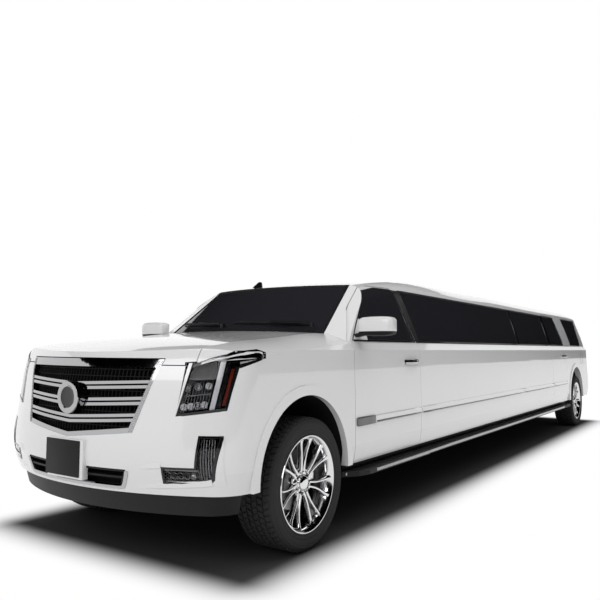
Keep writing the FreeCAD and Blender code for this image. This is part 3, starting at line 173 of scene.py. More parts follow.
def strip(mesh, points, outs, profile, closed=False, sizes=None):
    """Profile swept along points, with its second axis turned along the outward directions."""
    rings = []
    count = len(points)
    for i, point in enumerate(points):
        before = (point - points[i - 1] if closed or i else points[1] - points[0]).normalized()
        after = (points[(i + 1) % count] - point).normalized() if closed or i < count - 1 else before
        along = (before + after).normalized()
        across = along.cross(outs[i]).normalized()
        out = across.cross(along)
        size = sizes[i] if sizes else 1.0
        widen = size / max(along.dot(before), 0.5)
        rings.append([point + across * (u * widen) + out * (v * size) for u, v in profile])
    sweep(mesh, rings, closed)


def revolve(mesh, profile, steps):
    """Ring turned about the X axis from a closed outline of (x, radius) points."""
    corners = [mesh.verts.new((x, 0, radius)) for x, radius in profile]
    edges = [mesh.edges.new((corners[i - 1], corners[i])) for i in range(len(corners))]
    bmesh.ops.spin(mesh, geom=corners + edges, cent=(0, 0, 0), axis=(1, 0, 0), angle=2 * math.pi, steps=steps,
                   use_merge=True, use_duplicate=False)
    bmesh.ops.remove_doubles(mesh, verts=mesh.verts, dist=1e-6)


def block(mesh, low, high, cut=0.0, segments=2):
    """Box between two corners with rounded edges. Returns its vertices."""
    low, high = Vector(low), Vector(high)
    size = Matrix.Diagonal((*(high - low), 1))
    made = bmesh.ops.create_cube(mesh, size=1, matrix=Matrix.Translation((low + high) / 2) @ size)["verts"]
    if cut:
        edges = list({edge for vert in made for edge in vert.link_edges})
        made = bmesh.ops.bevel(mesh, geom=edges, offset=cut, offset_type="OFFSET", segments=segments,
                               profile=0.5, affect="EDGES", material=-1)["verts"]
    return made


def plate(mesh, outline, depth, cut=0.0):
    """Flat closed plate from a ring of points, carried along a depth vector."""
    corners = [mesh.verts.new(point) for point in outline]
    face = mesh.faces.new(corners)
    made = bmesh.ops.extrude_face_region(mesh, geom=[face])["geom"]
    top = [item for item in made if isinstance(item, bmesh.types.BMVert)]
    bmesh.ops.translate(mesh, verts=top, vec=depth)
    if cut:
        lid = [item for item in made if isinstance(item, bmesh.types.BMFace)][0]
        bmesh.ops.bevel(mesh, geom=list(lid.edges), offset=cut, offset_type="OFFSET", segments=2, profile=0.5,
                        affect="EDGES", material=-1)
    return mesh


def parts_of(verts):
    """Vertices with the edges and faces that they belong to."""
    return list({item for vert in verts for item in (vert, *vert.link_edges, *vert.link_faces)})


def array_round(mesh, geometry, count, centre=(0, 0, 0), axis=(1, 0, 0)):
    """Copies of geometry in even steps round an axis."""
    bmesh.ops.spin(mesh, geom=geometry, cent=centre, axis=axis, angle=2 * math.pi * (count - 1) / count,
                   steps=count - 1, use_duplicate=True)


def mirror_mesh(mesh):
    """Flips a mesh to the other side of the car."""
    bmesh.ops.scale(mesh, verts=mesh.verts, vec=(-1, 1, 1))


def new_object(name, mesh):
    """Object in the scene that takes over a finished mesh."""
    data = bpy.data.meshes.new(name)
    mesh.to_mesh(data)
    mesh.free()
    item = bpy.data.objects.new(name, data)
    bpy.context.scene.collection.objects.link(item)
    return item


def add_piece(name, mesh, finish, body, sharp=SHARP_ANGLE, replaced=()):
    """Turns a finished mesh into a piece of the car that rides on a body."""
    bmesh.ops.recalc_face_normals(mesh, faces=mesh.faces)
    piece = new_object(name, mesh)
    data = piece.data
    data.materials.append(bpy.data.materials[finish])
    data.shade_smooth()
    data.set_sharp_from_angle(angle=math.radians(sharp))
    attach(piece, body)
    if replaced:
        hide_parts(*replaced)
    return piece


def add_made(name, make, finish, body, slot=None, sharp=SHARP_ANGLE):
    """A piece from its builder."""
    mesh = start()
    make(mesh)
    return add_piece(name, mesh, finish, body, sharp)


def add_pair(name, make, finish, bodies, sharp=SHARP_ANGLE, replaced=()):
    """The same piece on both sides of the car. bodies and replaced may hold a place for the side's name."""
    for side, sign in SIDES.items():
        mesh = start()
        make(mesh)
        if sign < 0:
            mirror_mesh(mesh)
        add_piece(f"{name}_{side}", mesh, finish, bodies.format(side), sharp,
                  [node.format(side) for node in replaced])


def skin_of(*names):
    """Search tree over the surface of CAD nodes."""
    shell = start()
    for name in names:
        shell.from_mesh(nodes[name].data)
    tree = BVHTree.FromBMesh(shell)
    shell.free()
    return tree


def meet(tree, first, way, near, out):
    """Point where a line meets a skin, moved off it, and the normal there.

    A line that misses takes the skin's point nearest to a place.
    """
    hit, normal = tree.ray_cast(Vector(first), Vector(way))[:2]
    if hit is None:
        hit, normal = tree.find_nearest(Vector(near))[:2]
    return hit + normal * out, normal


def side_point(tree, y, z, out=0.0):
    """Point of the left side's skin at a place along the car and a height, moved outwards."""
    return meet(tree, (2.0, y, z), (-1, 0, 0), (1.05, y, z), out)


def inner_point(tree, y, z, out=0.0):
    """Point of the left side's inner skin at a place along the car and a height, moved inwards."""
    return meet(tree, (0.3, y, z), (1, 0, 0), (0.93, y, z), out)


def front_point(tree, x, z, out=0.0):
    """Point of the nose's skin at a width and a height, moved outwards."""
    return meet(tree, (x, -7.0, z), (0, 1, 0), (x, -5.0, z), out)


def rear_point(tree, x, z, out=0.0):
    """Point of the tail's skin at a width and a height, moved outwards."""
    return meet(tree, (x, 7.0, z), (0, -1, 0), (x, 5.1, z), out)


def top_point(tree, x, y, out=0.0):
    """Point of the upper skin over a place on the ground, moved outwards."""
    return meet(tree, (x, y, 4.0), (0, 0, -1), (x, y, 1.5), out)


def dash_point(tree, x, z, out=0.0):
    """Point of the dashboard's face at a width and a height, moved towards the seats."""
    return meet(tree, (x, -2.0, z), (0, -1, 0), (x, -3.29, z), out)


def spread(low, high, count):
    """Evenly spaced values from low to high."""
    return [mix(low, high, i / (count - 1)) for i in range(count)]


def within(x=(None, None), y=(None, None), z=(None, None)):
    """Cutting planes that keep what lies between the limits along each axis."""
    cuts = []
    for axis, limits in enumerate((x, y, z)):
        for limit, way in zip(limits, (-1, 1)):
            if limit is not None:
                point, normal = Vector(), Vector()
                point[axis], normal[axis] = limit, way
                cuts.append((point, normal))
    return cuts


def cut_off(mesh, point, normal):
    """Cuts a mesh by a plane and drops what lies on the normal's side."""
    bmesh.ops.bisect_plane(mesh, geom=mesh.verts[:] + mesh.edges[:] + mesh.faces[:], plane_co=point,
                           plane_no=normal, clear_outer=True, dist=1e-6)


def joined_nodes(names):
    """Copy of CAD nodes with their loose triangles joined."""
    mesh = start()
    for name in names:
        mesh.from_mesh(nodes[name].data)
    bmesh.ops.remove_doubles(mesh, verts=mesh.verts, dist=1e-5)
    return mesh


def node_patch(names, cuts, facing, lift, thickness):
    """Thin cover over part of CAD nodes: cut by planes, facing one way, lifted off and given a thickness."""
    mesh = joined_nodes(names)
    for point, normal in cuts:
        cut_off(mesh, point, normal)
    mesh.normal_update()
    facing = Vector(facing)
    away = [face for face in mesh.faces if face.normal.dot(facing) < 0.3]
    bmesh.ops.delete(mesh, geom=away, context="FACES")
    lift_faces(mesh, lift, thickness)
    return mesh


def lift_faces(mesh, lift, thickness):
    """Moves an open skin off its surface and closes it into a shell of even thickness."""
    mesh.normal_update()
    moves = {vert: vert.normal.copy() for vert in mesh.verts}
    for vert, normal in moves.items():
        vert.co += normal * lift
    made = bmesh.ops.extrude_face_region(mesh, geom=mesh.faces[:])["geom"]
    top = [item for item in made if isinstance(item, bmesh.types.BMVert)]
    normals = {vert: vert.normal.copy() for vert in top}
    for vert in top:
        vert.co += normals[vert] * thickness


def path_on(point_at, tree, places, out=0.0):
    """Row of skin points and their normals at a row of places."""
    found = [point_at(tree, *place, out) for place in places]
    return [point for point, _ in found], [normal for _, normal in found]


def side_path(tree, low, high, z, out=0.0, step=0.2):
    """Row of skin points along the left side between two stations."""
    count = int((high - low) / step) + 3
    return path_on(side_point, tree, [(at(station), z) for station in spread(low, high, count)], out)


def with_tips(points, outs, tip):
    """A row with rounded-off ends: two more points near each end, and the sizes along it."""
    head, tail = (points[1] - points[0]).normalized() * tip, (points[-2] - points[-1]).normalized() * tip
    row = [points[0], points[0] + head * 0.3, points[0] + head, *points[1:-1], points[-1] + tail,
           points[-1] + tail * 0.3, points[-1]]
    ways = [outs[0]] * 3 + outs[1:-1] + [outs[-1]] * 3
    return row, ways, [0.5, 0.85] + [1.0] * (len(row) - 4) + [0.85, 0.5]


def tipped_strip(mesh, points, outs, profile, tip=0.012):
    """Strip with rounded ends."""
    row, ways, sizes = with_tips(points, outs, tip)
    strip(mesh, row, ways, profile, sizes=sizes)


def skin_part(names, keep):
    """Copy of the faces of CAD nodes that pass a test, joined at their shared corners."""
    mesh = joined_nodes(names)
    mesh.normal_update()
    drop = [face for face in mesh.faces if not keep(face)]
    bmesh.ops.delete(mesh, geom=drop, context="FACES")
    mesh.normal_update()
    return mesh


def rim_rows(mesh):
    """Open edges of a skin as closed rows of points, each row with its normals."""
    after = {}
    for edge in mesh.edges:
        if edge.is_boundary:
            loop = edge.link_loops[0]
            after[loop.vert] = loop.link_loop_next.vert
    rows, seen = [], set()
    for first in mesh.verts:
        row, vert = [], first
        while vert in after and vert not in seen:
            seen.add(vert)
            row.append((vert.co.copy(), vert.normal.copy()))
            vert = after[vert]
        if len(row) > 2:
            rows.append(thin_out(row))
    return rows


def thin_out(row):
    """A closed row without the points that barely turn or nearly meet."""
    kept = [row[0]]
    for i in range(1, len(row)):
        point, ahead = row[i][0], row[(i + 1) % len(row)][0]
        come, go = point - kept[-1][0], ahead - point
        turns = come.angle(go, 0) > math.radians(2)
        if come.length > 0.004 and go.length > 0.0005 and (turns or come.length > 0.25):
            kept.append(row[i])
    return [point for point, _ in kept], [normal for _, normal in kept]


def rim_strip(name, node_names, keep, profile, finish, body, shift=0.0):
    """Strip along every open edge of part of the CAD skin."""
    skin = skin_part(node_names, keep)
    mesh = start()
    for points, outs in rim_rows(skin):
        strip(mesh, [point + out * shift for point, out in zip(points, outs)], outs, profile, closed=True)
    skin.free()
    return add_piece(name, mesh, finish, body)


def shell_piece(name, mesh, thickness, finish, body, replaced=()):
    """An open skin made into a thin closed shell and added to the car."""
    lift_faces(mesh, 0.0, thickness)
    return add_piece(name, mesh, finish, body, replaced=replaced)


def merge_into(mesh, other):
    """Moves the contents of one mesh into another."""
    data = bpy.data.meshes.new("carrier")
    other.to_mesh(data)
    other.free()
    mesh.from_mesh(data)
    bpy.data.meshes.remove(data)


def cover(names, cuts, facing, thickness, lift=0.0):
    """Builder of a thin cover over part of CAD nodes."""
    def make(mesh):
        merge_into(mesh, node_patch(names, cuts, facing, lift, thickness))
    return make


# Finishes

DUST = (0.30, 0.28, 0.25)


def new_group(name, inputs, outputs):
    """Empty node group with named sockets.

    Returns it with its inputs, its outputs and the object's own coordinates.
    """
    group = bpy.data.node_groups.new(name, "ShaderNodeTree")
    for key, value in inputs.items():
        kind = "NodeSocketColor" if isinstance(value, tuple) else "NodeSocketFloat"
        socket = group.interface.new_socket(name=key, in_out="INPUT", socket_type=kind)
        socket.default_value = value
    for key, kind in outputs.items():
        group.interface.new_socket(name=key, in_out="OUTPUT", socket_type="NodeSocket" + kind)
    given = group.nodes.new("NodeGroupInput").outputs
    result = group.nodes.new("NodeGroupOutput").inputs
    return group, given, result, group.nodes.new("ShaderNodeTexCoord").outputs["Object"]


def link(tree, source, target):
    """Feeds one node's output to another's input."""
    tree.links.new(source, target)


def set_or_link(tree, socket, value):
    """Gives an input a plain value or another node's output."""
    if isinstance(value, (int, float, tuple)):
        socket.default_value = value
    else:
        link(tree, value, socket)


def math_node(tree, operation, first, second):
    """Math node with each input a number or another node's output."""
    node = tree.nodes.new("ShaderNodeMath")
    node.operation = operation
    set_or_link(tree, node.inputs[0], first)
    set_or_link(tree, node.inputs[1], second)
    return node.outputs[0]


def noise(tree, scale, detail, vector):
    """Noise texture on the object's own coordinates."""
    node = tree.nodes.new("ShaderNodeTexNoise")
    node.inputs["Detail"].default_value = detail
    link(tree, vector, node.inputs["Vector"])
    set_or_link(tree, node.inputs["Scale"], scale)
    return node.outputs["Fac"]


def mix_color(tree, share, first, second):
    """Colour between two others."""
    node = tree.nodes.new("ShaderNodeMix")
    node.data_type = "RGBA"
    link(tree, share, node.inputs["Factor"])
    set_or_link(tree, node.inputs[6], first)
    set_or_link(tree, node.inputs[7], second)
    return node.outputs[2]


def bumped(group, height, result):
    """Bump from a height in metres, put out as the group's normal."""
    bump = group.nodes.new("ShaderNodeBump")
    bump.inputs["Distance"].default_value = 1.0
    link(group, height, bump.inputs["Height"])
    link(group, bump.outputs["Normal"], result["Normal"])


def make_surface_group():
    """Uneven colour and gloss with a fine grain, as moulded and painted surfaces have."""
    group, given, result, place = new_group(
        "surface_variation",
        {"Color": (0.5, 0.5, 0.5, 1), "Shade": (0.4, 0.4, 0.4, 1), "Patch Scale": 3.0, "Low Gloss": 0.3,
         "High Gloss": 0.4, "Grain Scale": 300.0, "Grain Height": 0.0002},
        {"Color": "Color", "Roughness": "Float", "Normal": "Vector"})
    patch = noise(group, given["Patch Scale"], 5.0, place)
    grain = noise(group, given["Grain Scale"], 3.0, place)
    both = math_node(group, "ADD", math_node(group, "MULTIPLY", patch, 0.7),
                     math_node(group, "MULTIPLY", grain, 0.3))
    link(group, mix_color(group, both, given["Color"], given["Shade"]), result["Color"])
    span = math_node(group, "SUBTRACT", given["High Gloss"], given["Low Gloss"])
    gloss = math_node(group, "ADD", given["Low Gloss"], math_node(group, "MULTIPLY", both, span))
    link(group, gloss, result["Roughness"])
    bumped(group, math_node(group, "MULTIPLY", grain, given["Grain Height"]), result)


def make_film_group():
    """Road dust that gathers towards the ground, in soft patches."""
    group, given, result, place = new_group(
        "road_film",
        {"Color": (0.5, 0.5, 0.5, 1), "Dust": (0.2, 0.18, 0.15, 1), "Top": 0.6, "Amount": 0.3},
        {"Color": "Color"})
    split = group.nodes.new("ShaderNodeSeparateXYZ")
    link(group, place, split.inputs[0])
    height = math_node(group, "DIVIDE", split.outputs["Z"], given["Top"])
    fade = math_node(group, "MAXIMUM", math_node(group, "SUBTRACT", 1.0, height), 0.0)
    cloud = noise(group, 9.0, 6.0, place)
    share = math_node(group, "MULTIPLY", math_node(group, "MULTIPLY", fade, cloud), given["Amount"])
    link(group, mix_color(group, share, given["Color"], given["Dust"]), result["Color"])


def make_hide_group():
    """Pebbled hide with fine creases, painted darker in the creases as painted shade."""
    group, given, result, place = new_group(
        "hide_grain",
        {"Color": (0.05, 0.05, 0.05, 1), "Crease": (0.02, 0.02, 0.02, 1), "Cell Scale": 420.0,
         "Height": 0.0004},
        {"Color": "Color", "Roughness": "Float", "Normal": "Vector"})
    cells = group.nodes.new("ShaderNodeTexVoronoi")
    cells.feature = "DISTANCE_TO_EDGE"
    link(group, given["Cell Scale"], cells.inputs["Scale"])
    link(group, place, cells.inputs["Vector"])
    edge = math_node(group, "MINIMUM", math_node(group, "MULTIPLY", cells.outputs["Distance"], 4.0), 1.0)
    # The crease colour fills the cell edges: painted shade in the grain's hollows, on top of the bump.
    link(group, mix_color(group, edge, given["Crease"], given["Color"]), result["Color"])
    soft = math_node(group, "MULTIPLY", noise(group, 12.0, 4.0, place), 0.2)
    link(group, math_node(group, "ADD", 0.34, soft), result["Roughness"])
    bumped(group, math_node(group, "MULTIPLY", edge, given["Height"]), result)


def opaque(color):
    """Colour socket's value from a colour or one grey level."""
    return (*color[:3], 1.0) if isinstance(color, tuple) else (color, color, color, 1.0)


def set_inputs(node, values):
    """Sets a node's sockets from names with low lines for spaces."""
    for key, value in values.items():
        if isinstance(value, tuple):
            value = opaque(value)
        node.inputs[key.replace("_", " ")].default_value = value


def new_finish(name, **constants):
    """Material with one Principled shader whose even values are set on its own sockets."""
    material = bpy.data.materials.new(name)
    material.use_nodes = True
    shader = material.node_tree.nodes["Principled BSDF"]
    set_inputs(shader, constants)
    return material.node_tree, shader


def place_group(tree, group, **values):
    """Node group in a material with its own values."""
    node = tree.nodes.new("ShaderNodeGroup")
    node.node_tree = bpy.data.node_groups[group]
    set_inputs(node, values)
    return node


def varied_finish(name, color, shade, gloss, patch, grain, film=None, **constants):
    """Finish with patches, grain and, where film gives its top and amount, road dust."""
    tree, shader = new_finish(name, **constants)
    surface = place_group(tree, "surface_variation", Color=opaque(color), Shade=opaque(shade),
                          Patch_Scale=patch, Low_Gloss=gloss[0], High_Gloss=gloss[1], Grain_Scale=grain[0],
                          Grain_Height=grain[1])
    color_out = surface.outputs["Color"]
    if film:
        dust = place_group(tree, "road_film", Top=film[0], Amount=film[1], Dust=DUST)
        link(tree, color_out, dust.inputs["Color"])
        color_out = dust.outputs["Color"]
    link(tree, color_out, shader.inputs["Base Color"])
    link(tree, surface.outputs["Roughness"], shader.inputs["Roughness"])
    link(tree, surface.outputs["Normal"], shader.inputs["Normal"])


def shaded(color, share):
    """A colour made darker."""
    return tuple(value * share for value in color[:3])


def make_finishes(settings):
    """Every material of the car."""
    make_surface_group()
    make_film_group()
    make_hide_group()
    paint, chrome = tuple(settings.paint), tuple(settings.chrome)
    varied_finish("body_paint", paint, shaded(paint, 0.985), (0.22, 0.28), 1.5, (900.0, 0.00001),
                  (0.75, 0.10), Coat_Weight=1.0, Coat_Roughness=0.03, IOR=1.45)
    varied_finish("polished_chrome", chrome, shaded(chrome, 0.93), (0.03, 0.08), 8.0, (500.0, 0.000005),
                  Metallic=1.0)
    varied_finish("wheel_chrome", chrome, shaded(chrome, 0.86), (0.04, 0.11), 14.0, (500.0, 0.00001),
                  (0.5, 0.10), Metallic=1.0)
    varied_finish("dark_chrome", (0.16, 0.16, 0.165), (0.11, 0.11, 0.115), (0.08, 0.16), 10.0,
                  (400.0, 0.00001), Metallic=1.0)
    varied_finish("grey_trim", (0.20, 0.20, 0.205), 0.14, (0.25, 0.35), 10.0, (400.0, 0.00002),
                  Metallic=0.6)
    varied_finish("black_moulding", (0.010, 0.010, 0.011), 0.006, (0.42, 0.55), 5.0, (900.0, 0.0002),
                  (0.6, 0.03), Specular_IOR_Level=0.22)
    varied_finish("gloss_black", (0.008, 0.008, 0.009), 0.005, (0.04, 0.08), 4.0, (900.0, 0.000005),
                  Coat_Weight=0.3, Specular_IOR_Level=0.35)
    varied_finish("pillar_black", (0.035, 0.035, 0.036), 0.022, (0.2, 0.3), 4.0, (700.0, 0.00005))
    varied_finish("arch_liner", 0.012, 0.007, (0.7, 0.9), 6.0, (160.0, 0.0008), (0.6, 0.15),
                  Specular_IOR_Level=0.2)
    varied_finish("under_coat", 0.018, 0.008, (0.55, 0.75), 3.0, (120.0, 0.0006), (0.7, 0.2))
    varied_finish("frame_paint", 0.02, 0.01, (0.4, 0.6), 3.0, (200.0, 0.0003), (0.7, 0.2))
    varied_finish("cast_metal", (0.16, 0.16, 0.165), (0.08, 0.075, 0.07), (0.5, 0.7), 6.0,
                  (150.0, 0.0007), (0.6, 0.2), Metallic=0.8)
    varied_finish("engine_metal", 0.18, 0.1, (0.45, 0.65), 5.0, (140.0, 0.0006), Metallic=0.7)
    varied_finish("brake_steel", (0.42, 0.42, 0.43), (0.26, 0.25, 0.24), (0.25, 0.4), 12.0,
                  (600.0, 0.00008), Metallic=1.0)
    varied_finish("exhaust_steel", (0.34, 0.33, 0.31), (0.16, 0.12, 0.09), (0.35, 0.55), 4.0,
                  (300.0, 0.0001), Metallic=1.0)
    varied_finish("tyre_rubber", 0.014, 0.008, (0.6, 0.75), 9.0, (260.0, 0.0004), (0.42, 0.06),
                  Specular_IOR_Level=0.25)
    varied_finish("soft_seal", 0.012, 0.007, (0.5, 0.65), 8.0, (500.0, 0.0001))
    varied_finish("cabin_moulding", (0.035, 0.034, 0.034), 0.022, (0.5, 0.62), 4.0, (850.0, 0.0003))
    varied_finish("cabin_carpet", (0.03, 0.03, 0.031), 0.012, (0.85, 0.95), 14.0, (900.0, 0.003),
                  Sheen_Weight=0.4)
    varied_finish("figured_wood", (0.16, 0.06, 0.022), (0.05, 0.018, 0.008), (0.12, 0.2), 7.0,
                  (60.0, 0.00005), Coat_Weight=0.8)
    varied_finish("smoked_reflector", (0.34, 0.34, 0.35), (0.12, 0.12, 0.125), (0.08, 0.2), 55.0,
                  (260.0, 0.0004), Metallic=1.0)
    varied_finish("red_lens", (0.30, 0.006, 0.008), (0.16, 0.002, 0.003), (0.05, 0.1), 30.0,
                  (600.0, 0.0004), Coat_Weight=1.0, Coat_Roughness=0.02)
    varied_finish("amber_lens", (0.22, 0.035, 0.02), (0.12, 0.012, 0.01), (0.06, 0.12), 30.0,
                  (600.0, 0.0004), Coat_Weight=1.0, Coat_Roughness=0.02)
    varied_finish("light_tube", (0.82, 0.82, 0.84), (0.6, 0.6, 0.62), (0.15, 0.25), 40.0, (400.0, 0.0003),
                  Coat_Weight=0.8)
    varied_finish("mirror_face", (0.75, 0.76, 0.78), (0.72, 0.73, 0.75), (0.0, 0.02), 3.0, (300.0, 0.0),
                  Metallic=1.0)
    new_finish("tinted_glass", Base_Color=tuple(settings.glass), Roughness=0.0, Transmission_Weight=1.0,
               IOR=1.15)
    new_finish("red_glass", Base_Color=(0.62, 0.02, 0.025), Roughness=0.02, Transmission_Weight=1.0,
               IOR=1.35)
    varied_finish("speckled_edge", (0.62, 0.62, 0.63), 0.06, (0.15, 0.35), 90.0, (300.0, 0.0004),
                  Metallic=0.9)
    new_finish("clear_lens", Base_Color=(0.97, 0.97, 0.98), Roughness=0.0, Transmission_Weight=1.0,
               IOR=1.2)
    tree, shader = new_finish("seat_hide")
    leather = tuple(settings.leather)
    # Crease colour is the leather made darker, painted shade for the grain's hollows.
    hide = place_group(tree, "hide_grain", Color=leather, Crease=shaded(leather, 0.4))
    for name, key in (("Color", "Base Color"), ("Roughness", "Roughness"), ("Normal", "Normal")):
        link(tree, hide.outputs[name], shader.inputs[key])


SLOT_FINISHES = {
    "body_white": "body_paint", "bright_chrome": "polished_chrome", "wheel_chrome": "wheel_chrome",
    "tinted_glass": "tinted_glass", "lamp_clear": "clear_lens", "lamp_red": "red_lens",
    "trim_black": "black_moulding", "liner_black": "arch_liner", "underbody_black": "under_coat",
    "frame_black": "frame_paint", "engine_grey": "engine_metal", "knuckle_iron": "cast_metal",
    "exhaust_steel": "exhaust_steel", "tyre_rubber": "tyre_rubber", "cabin_black": "cabin_moulding",
    "seat_leather": "seat_hide",
}


class LIMO_OT_finishes(bpy.types.Operator):
    """Make every finish and put one on each part of the CAD frame."""

    bl_idname = "limo.finishes"
    bl_label = "Finishes"

    def execute(self, context):
        make_finishes(context.scene.limo_finish)
        for row in frame["record"]["subparts"]:
            node = nodes[row["node"]]
            finish = bpy.data.materials[SLOT_FINISHES[row["material_slot"]]]
            if not node.material_slots:
                node.data.materials.append(finish)
            for place in node.material_slots:
                place.material = finish
        return {"FINISHED"}


# Wheels


def wheel_disc(mesh):
    """Chrome wheel about the X axis, outer face towards +X."""
    settings = bpy.context.scene.limo_wheels
    revolve(mesh, [(-0.120, 0.281), (-0.132, 0.292), (-0.128, 0.297), (-0.116, 0.293), (-0.112, 0.281),
                   (-0.050, 0.276), (-0.030, 0.258), (0.030, 0.258), (0.050, 0.276), (0.112, 0.281),
                   (0.116, 0.293), (0.128, 0.298), (0.134, 0.295), (0.134, 0.289), (0.128, 0.281),
                   (0.112, 0.272), (0.100, 0.266), (0.080, 0.262), (0.020, 0.250), (-0.020, 0.247),
                   (-0.100, 0.268)], 96)
    pairs = settings.spoke_pairs
    for pair in range(pairs):
        turn = Matrix.Rotation(2 * math.pi * pair / pairs, 3, "X")
        for twin in (-1, 1):
            wheel_spoke(mesh, turn, twin)
    revolve(mesh, [(0.010, 0.032), (0.010, 0.096), (0.060, 0.096), (0.080, 0.092), (0.088, 0.084),
                   (0.086, 0.078), (0.080, 0.074), (0.080, 0.052), (0.092, 0.046), (0.092, 0.032)], 48)


def wheel_spoke(mesh, turn, twin):
    """One of a pair of spokes, which leave the hub together and part towards the rim."""
    places = ((0.072, 0.014, 0.020, 0.091, 0.040), (0.105, 0.015, 0.018, 0.094, 0.040),
              (0.140, 0.018, 0.016, 0.097, 0.038), (0.180, 0.026, 0.016, 0.101, 0.036),
              (0.215, 0.036, 0.018, 0.106, 0.034), (0.240, 0.045, 0.022, 0.111, 0.032),
              (0.258, 0.051, 0.030, 0.116, 0.030), (0.272, 0.055, 0.040, 0.122, 0.030))
    rings = []
    for radius, offset, width, face, depth in places:
        cut = min(width, depth) * 0.3
        ring = [(offset - width / 2, face - depth), (offset + width / 2, face - depth),
                (offset + width / 2, face - cut), (offset + width / 2 - cut * 0.4, face - cut * 0.3),
                (offset + width * 0.12, face), (offset - width * 0.12, face),
                (offset - width / 2 + cut * 0.4, face - cut * 0.3), (offset - width / 2, face - cut)]
        rings.append([turn @ Vector((x, twin * across, radius)) for across, x in ring])
    sweep(mesh, rings)


def wheel_nuts(mesh):
    """Lug nuts in a ring and a bare domed cap in the middle."""
    settings = bpy.context.scene.limo_wheels
    face = Matrix.Translation((0.088, 0, 0.064)) @ Matrix.Rotation(math.pi / 2, 4, "Y")
    nut = bmesh.ops.create_cone(mesh, cap_ends=True, segments=6, radius1=0.011, radius2=0.010, depth=0.022,
                                matrix=face)["verts"]
    array_round(mesh, parts_of(nut), settings.lug_nuts)
    revolve(mesh, [(0.084, 0.0), (0.084, 0.045), (0.098, 0.045), (0.104, 0.040), (0.108, 0.030),
                   (0.110, 0.016), (0.111, 0.0)], 40)


def tyre_carcass(mesh):
    """Tyre below its tread, with ribs on the side wall."""
    settings = bpy.context.scene.limo_wheels
    floor = AXLE_Z - settings.groove_depth
    half = [(0.100, 0.280), (0.122, 0.286), (0.127, 0.296), (0.131, 0.300), (0.130, 0.306), (0.136, 0.318),
            (0.1385, 0.322), (0.1385, 0.326), (0.137, 0.330), (0.1415, 0.345), (0.1425, 0.354),
            (0.1425, 0.360), (0.1415, 0.368), (0.1430, 0.370), (0.1430, 0.374), (0.1400, 0.377),
            (0.1360, 0.386), (0.128, 0.394), (0.112, floor - 0.001), (0.080, floor), (0.0, floor + 0.0005)]
    mate = [(-x, radius) for x, radius in reversed(half[:-1])]
    inner = [(-0.100, 0.275), (0.100, 0.275)]
    revolve(mesh, half + mate + inner, 128)


def tread_ribs(mesh):
    """Rows of tread blocks, closed at the bottom inside the carcass."""
    settings = bpy.context.scene.limo_wheels
    count = settings.tread_blocks
    low = AXLE_Z - settings.groove_depth - 0.002
    pitch = 2 * math.pi * low / count
    rows = ((-0.104, 0.036, -0.30, 0.003), (-0.061, 0.034, 0.35, 0.0), (-0.0205, 0.030, -0.35, 0.0),
            (0.0205, 0.030, 0.35, 0.0), (0.061, 0.034, -0.35, 0.0), (0.104, 0.036, 0.30, 0.003))
    for number, (x, width, slant, drop) in enumerate(rows):
        w, d = width / 2, pitch * 0.40
        outer = math.copysign(1, x)
        bottom = [(-w, -d), (w, -d), (w, d), (-w, d)]
        corners = []
        for level, grow, deeper in ((low, 1.0, 2.6), (AXLE_Z, 0.94, 1.3)):
            corners.append([Vector((x + across * grow, along * grow + across * slant,
                                    level - (drop * deeper if across * outer > 0 else 0.0)))
                            for across, along in bottom])
        before = set(mesh.verts)
        shift = Matrix.Rotation(math.pi / count * (number % 2), 3, "X")
        sweep(mesh, [[shift @ point for point in ring] for ring in corners])
        array_round(mesh, parts_of([vert for vert in mesh.verts if vert not in before]), count)


def brake_disc(mesh):
    """Vented brake disc on its hat."""
    revolve(mesh, [(-0.030, 0.060), (-0.030, 0.085), (-0.012, 0.090), (-0.012, 0.172), (-0.004, 0.174),
                   (0.004, 0.172), (0.004, 0.090), (0.008, 0.085), (0.008, 0.060)], 64)
    revolve(mesh, [(-0.034, 0.095), (-0.034, 0.172), (-0.026, 0.172), (-0.026, 0.095)], 64)


def brake_caliper(mesh):
    """Caliper that grips the back of the disc."""
    rings = []
    for i in range(9):
        turn = math.radians(mix(58, 122, i / 8)) - math.pi / 2
        ease = math.sin(math.pi * min(max(i / 8, 0.08), 0.92))
        outer = mix(0.150, 0.206, ease ** 0.5)
        ring = [(-0.062, 0.112), (0.026, 0.112), (0.034, 0.120), (0.034, outer - 0.008), (0.026, outer),
                (-0.062, outer), (-0.070, outer - 0.008), (-0.070, 0.120)]
        rings.append([Vector((x, -math.sin(turn) * radius, math.cos(turn) * radius)) for x, radius in ring])
    sweep(mesh, rings)


class LIMO_OT_wheels(bpy.types.Operator):
    """Build the wheels, tyres and brakes."""

    bl_idname = "limo.wheels"
    bl_label = "Wheels, tyres and brakes"

    def execute(self, context):
        for axle, station in AXLES.items():
            for side, sign in SIDES.items():
                name = f"{axle}_{side}"
                wheel = "wheel_" + name
                holder = "knuckle_" + side if axle == "front" else "root"
                jobs = (("rim", wheel_disc, "wheel_chrome", wheel, "wheel_chrome", [wheel]),
                        ("nuts", wheel_nuts, "wheel_chrome", wheel, "wheel_chrome", []),
                        ("tyre_side", tyre_carcass, "tyre_rubber", wheel, "tyre_rubber", ["tyre_" + name]),
                        ("tread", tread_ribs, "tyre_rubber", wheel, "tyre_rubber", []),
                        ("brake_disc", brake_disc, "brake_steel", wheel, "knuckle_iron", []),
                        ("caliper", brake_caliper, "cast_metal", holder, "knuckle_iron", []))
                for kind, build, finish, body, slot, replaced in jobs:
                    mesh = start()
                    build(mesh)
                    bmesh.ops.scale(mesh, verts=mesh.verts, vec=(sign, 1, 1))
                    bmesh.ops.translate(mesh, verts=mesh.verts, vec=(sign * HALF_TRACK, at(station), AXLE_Z))
                    add_piece(f"{kind}_{name}", mesh, finish, body, replaced=replaced)
        return {"FINISHED"}


# Mouldings along the sides

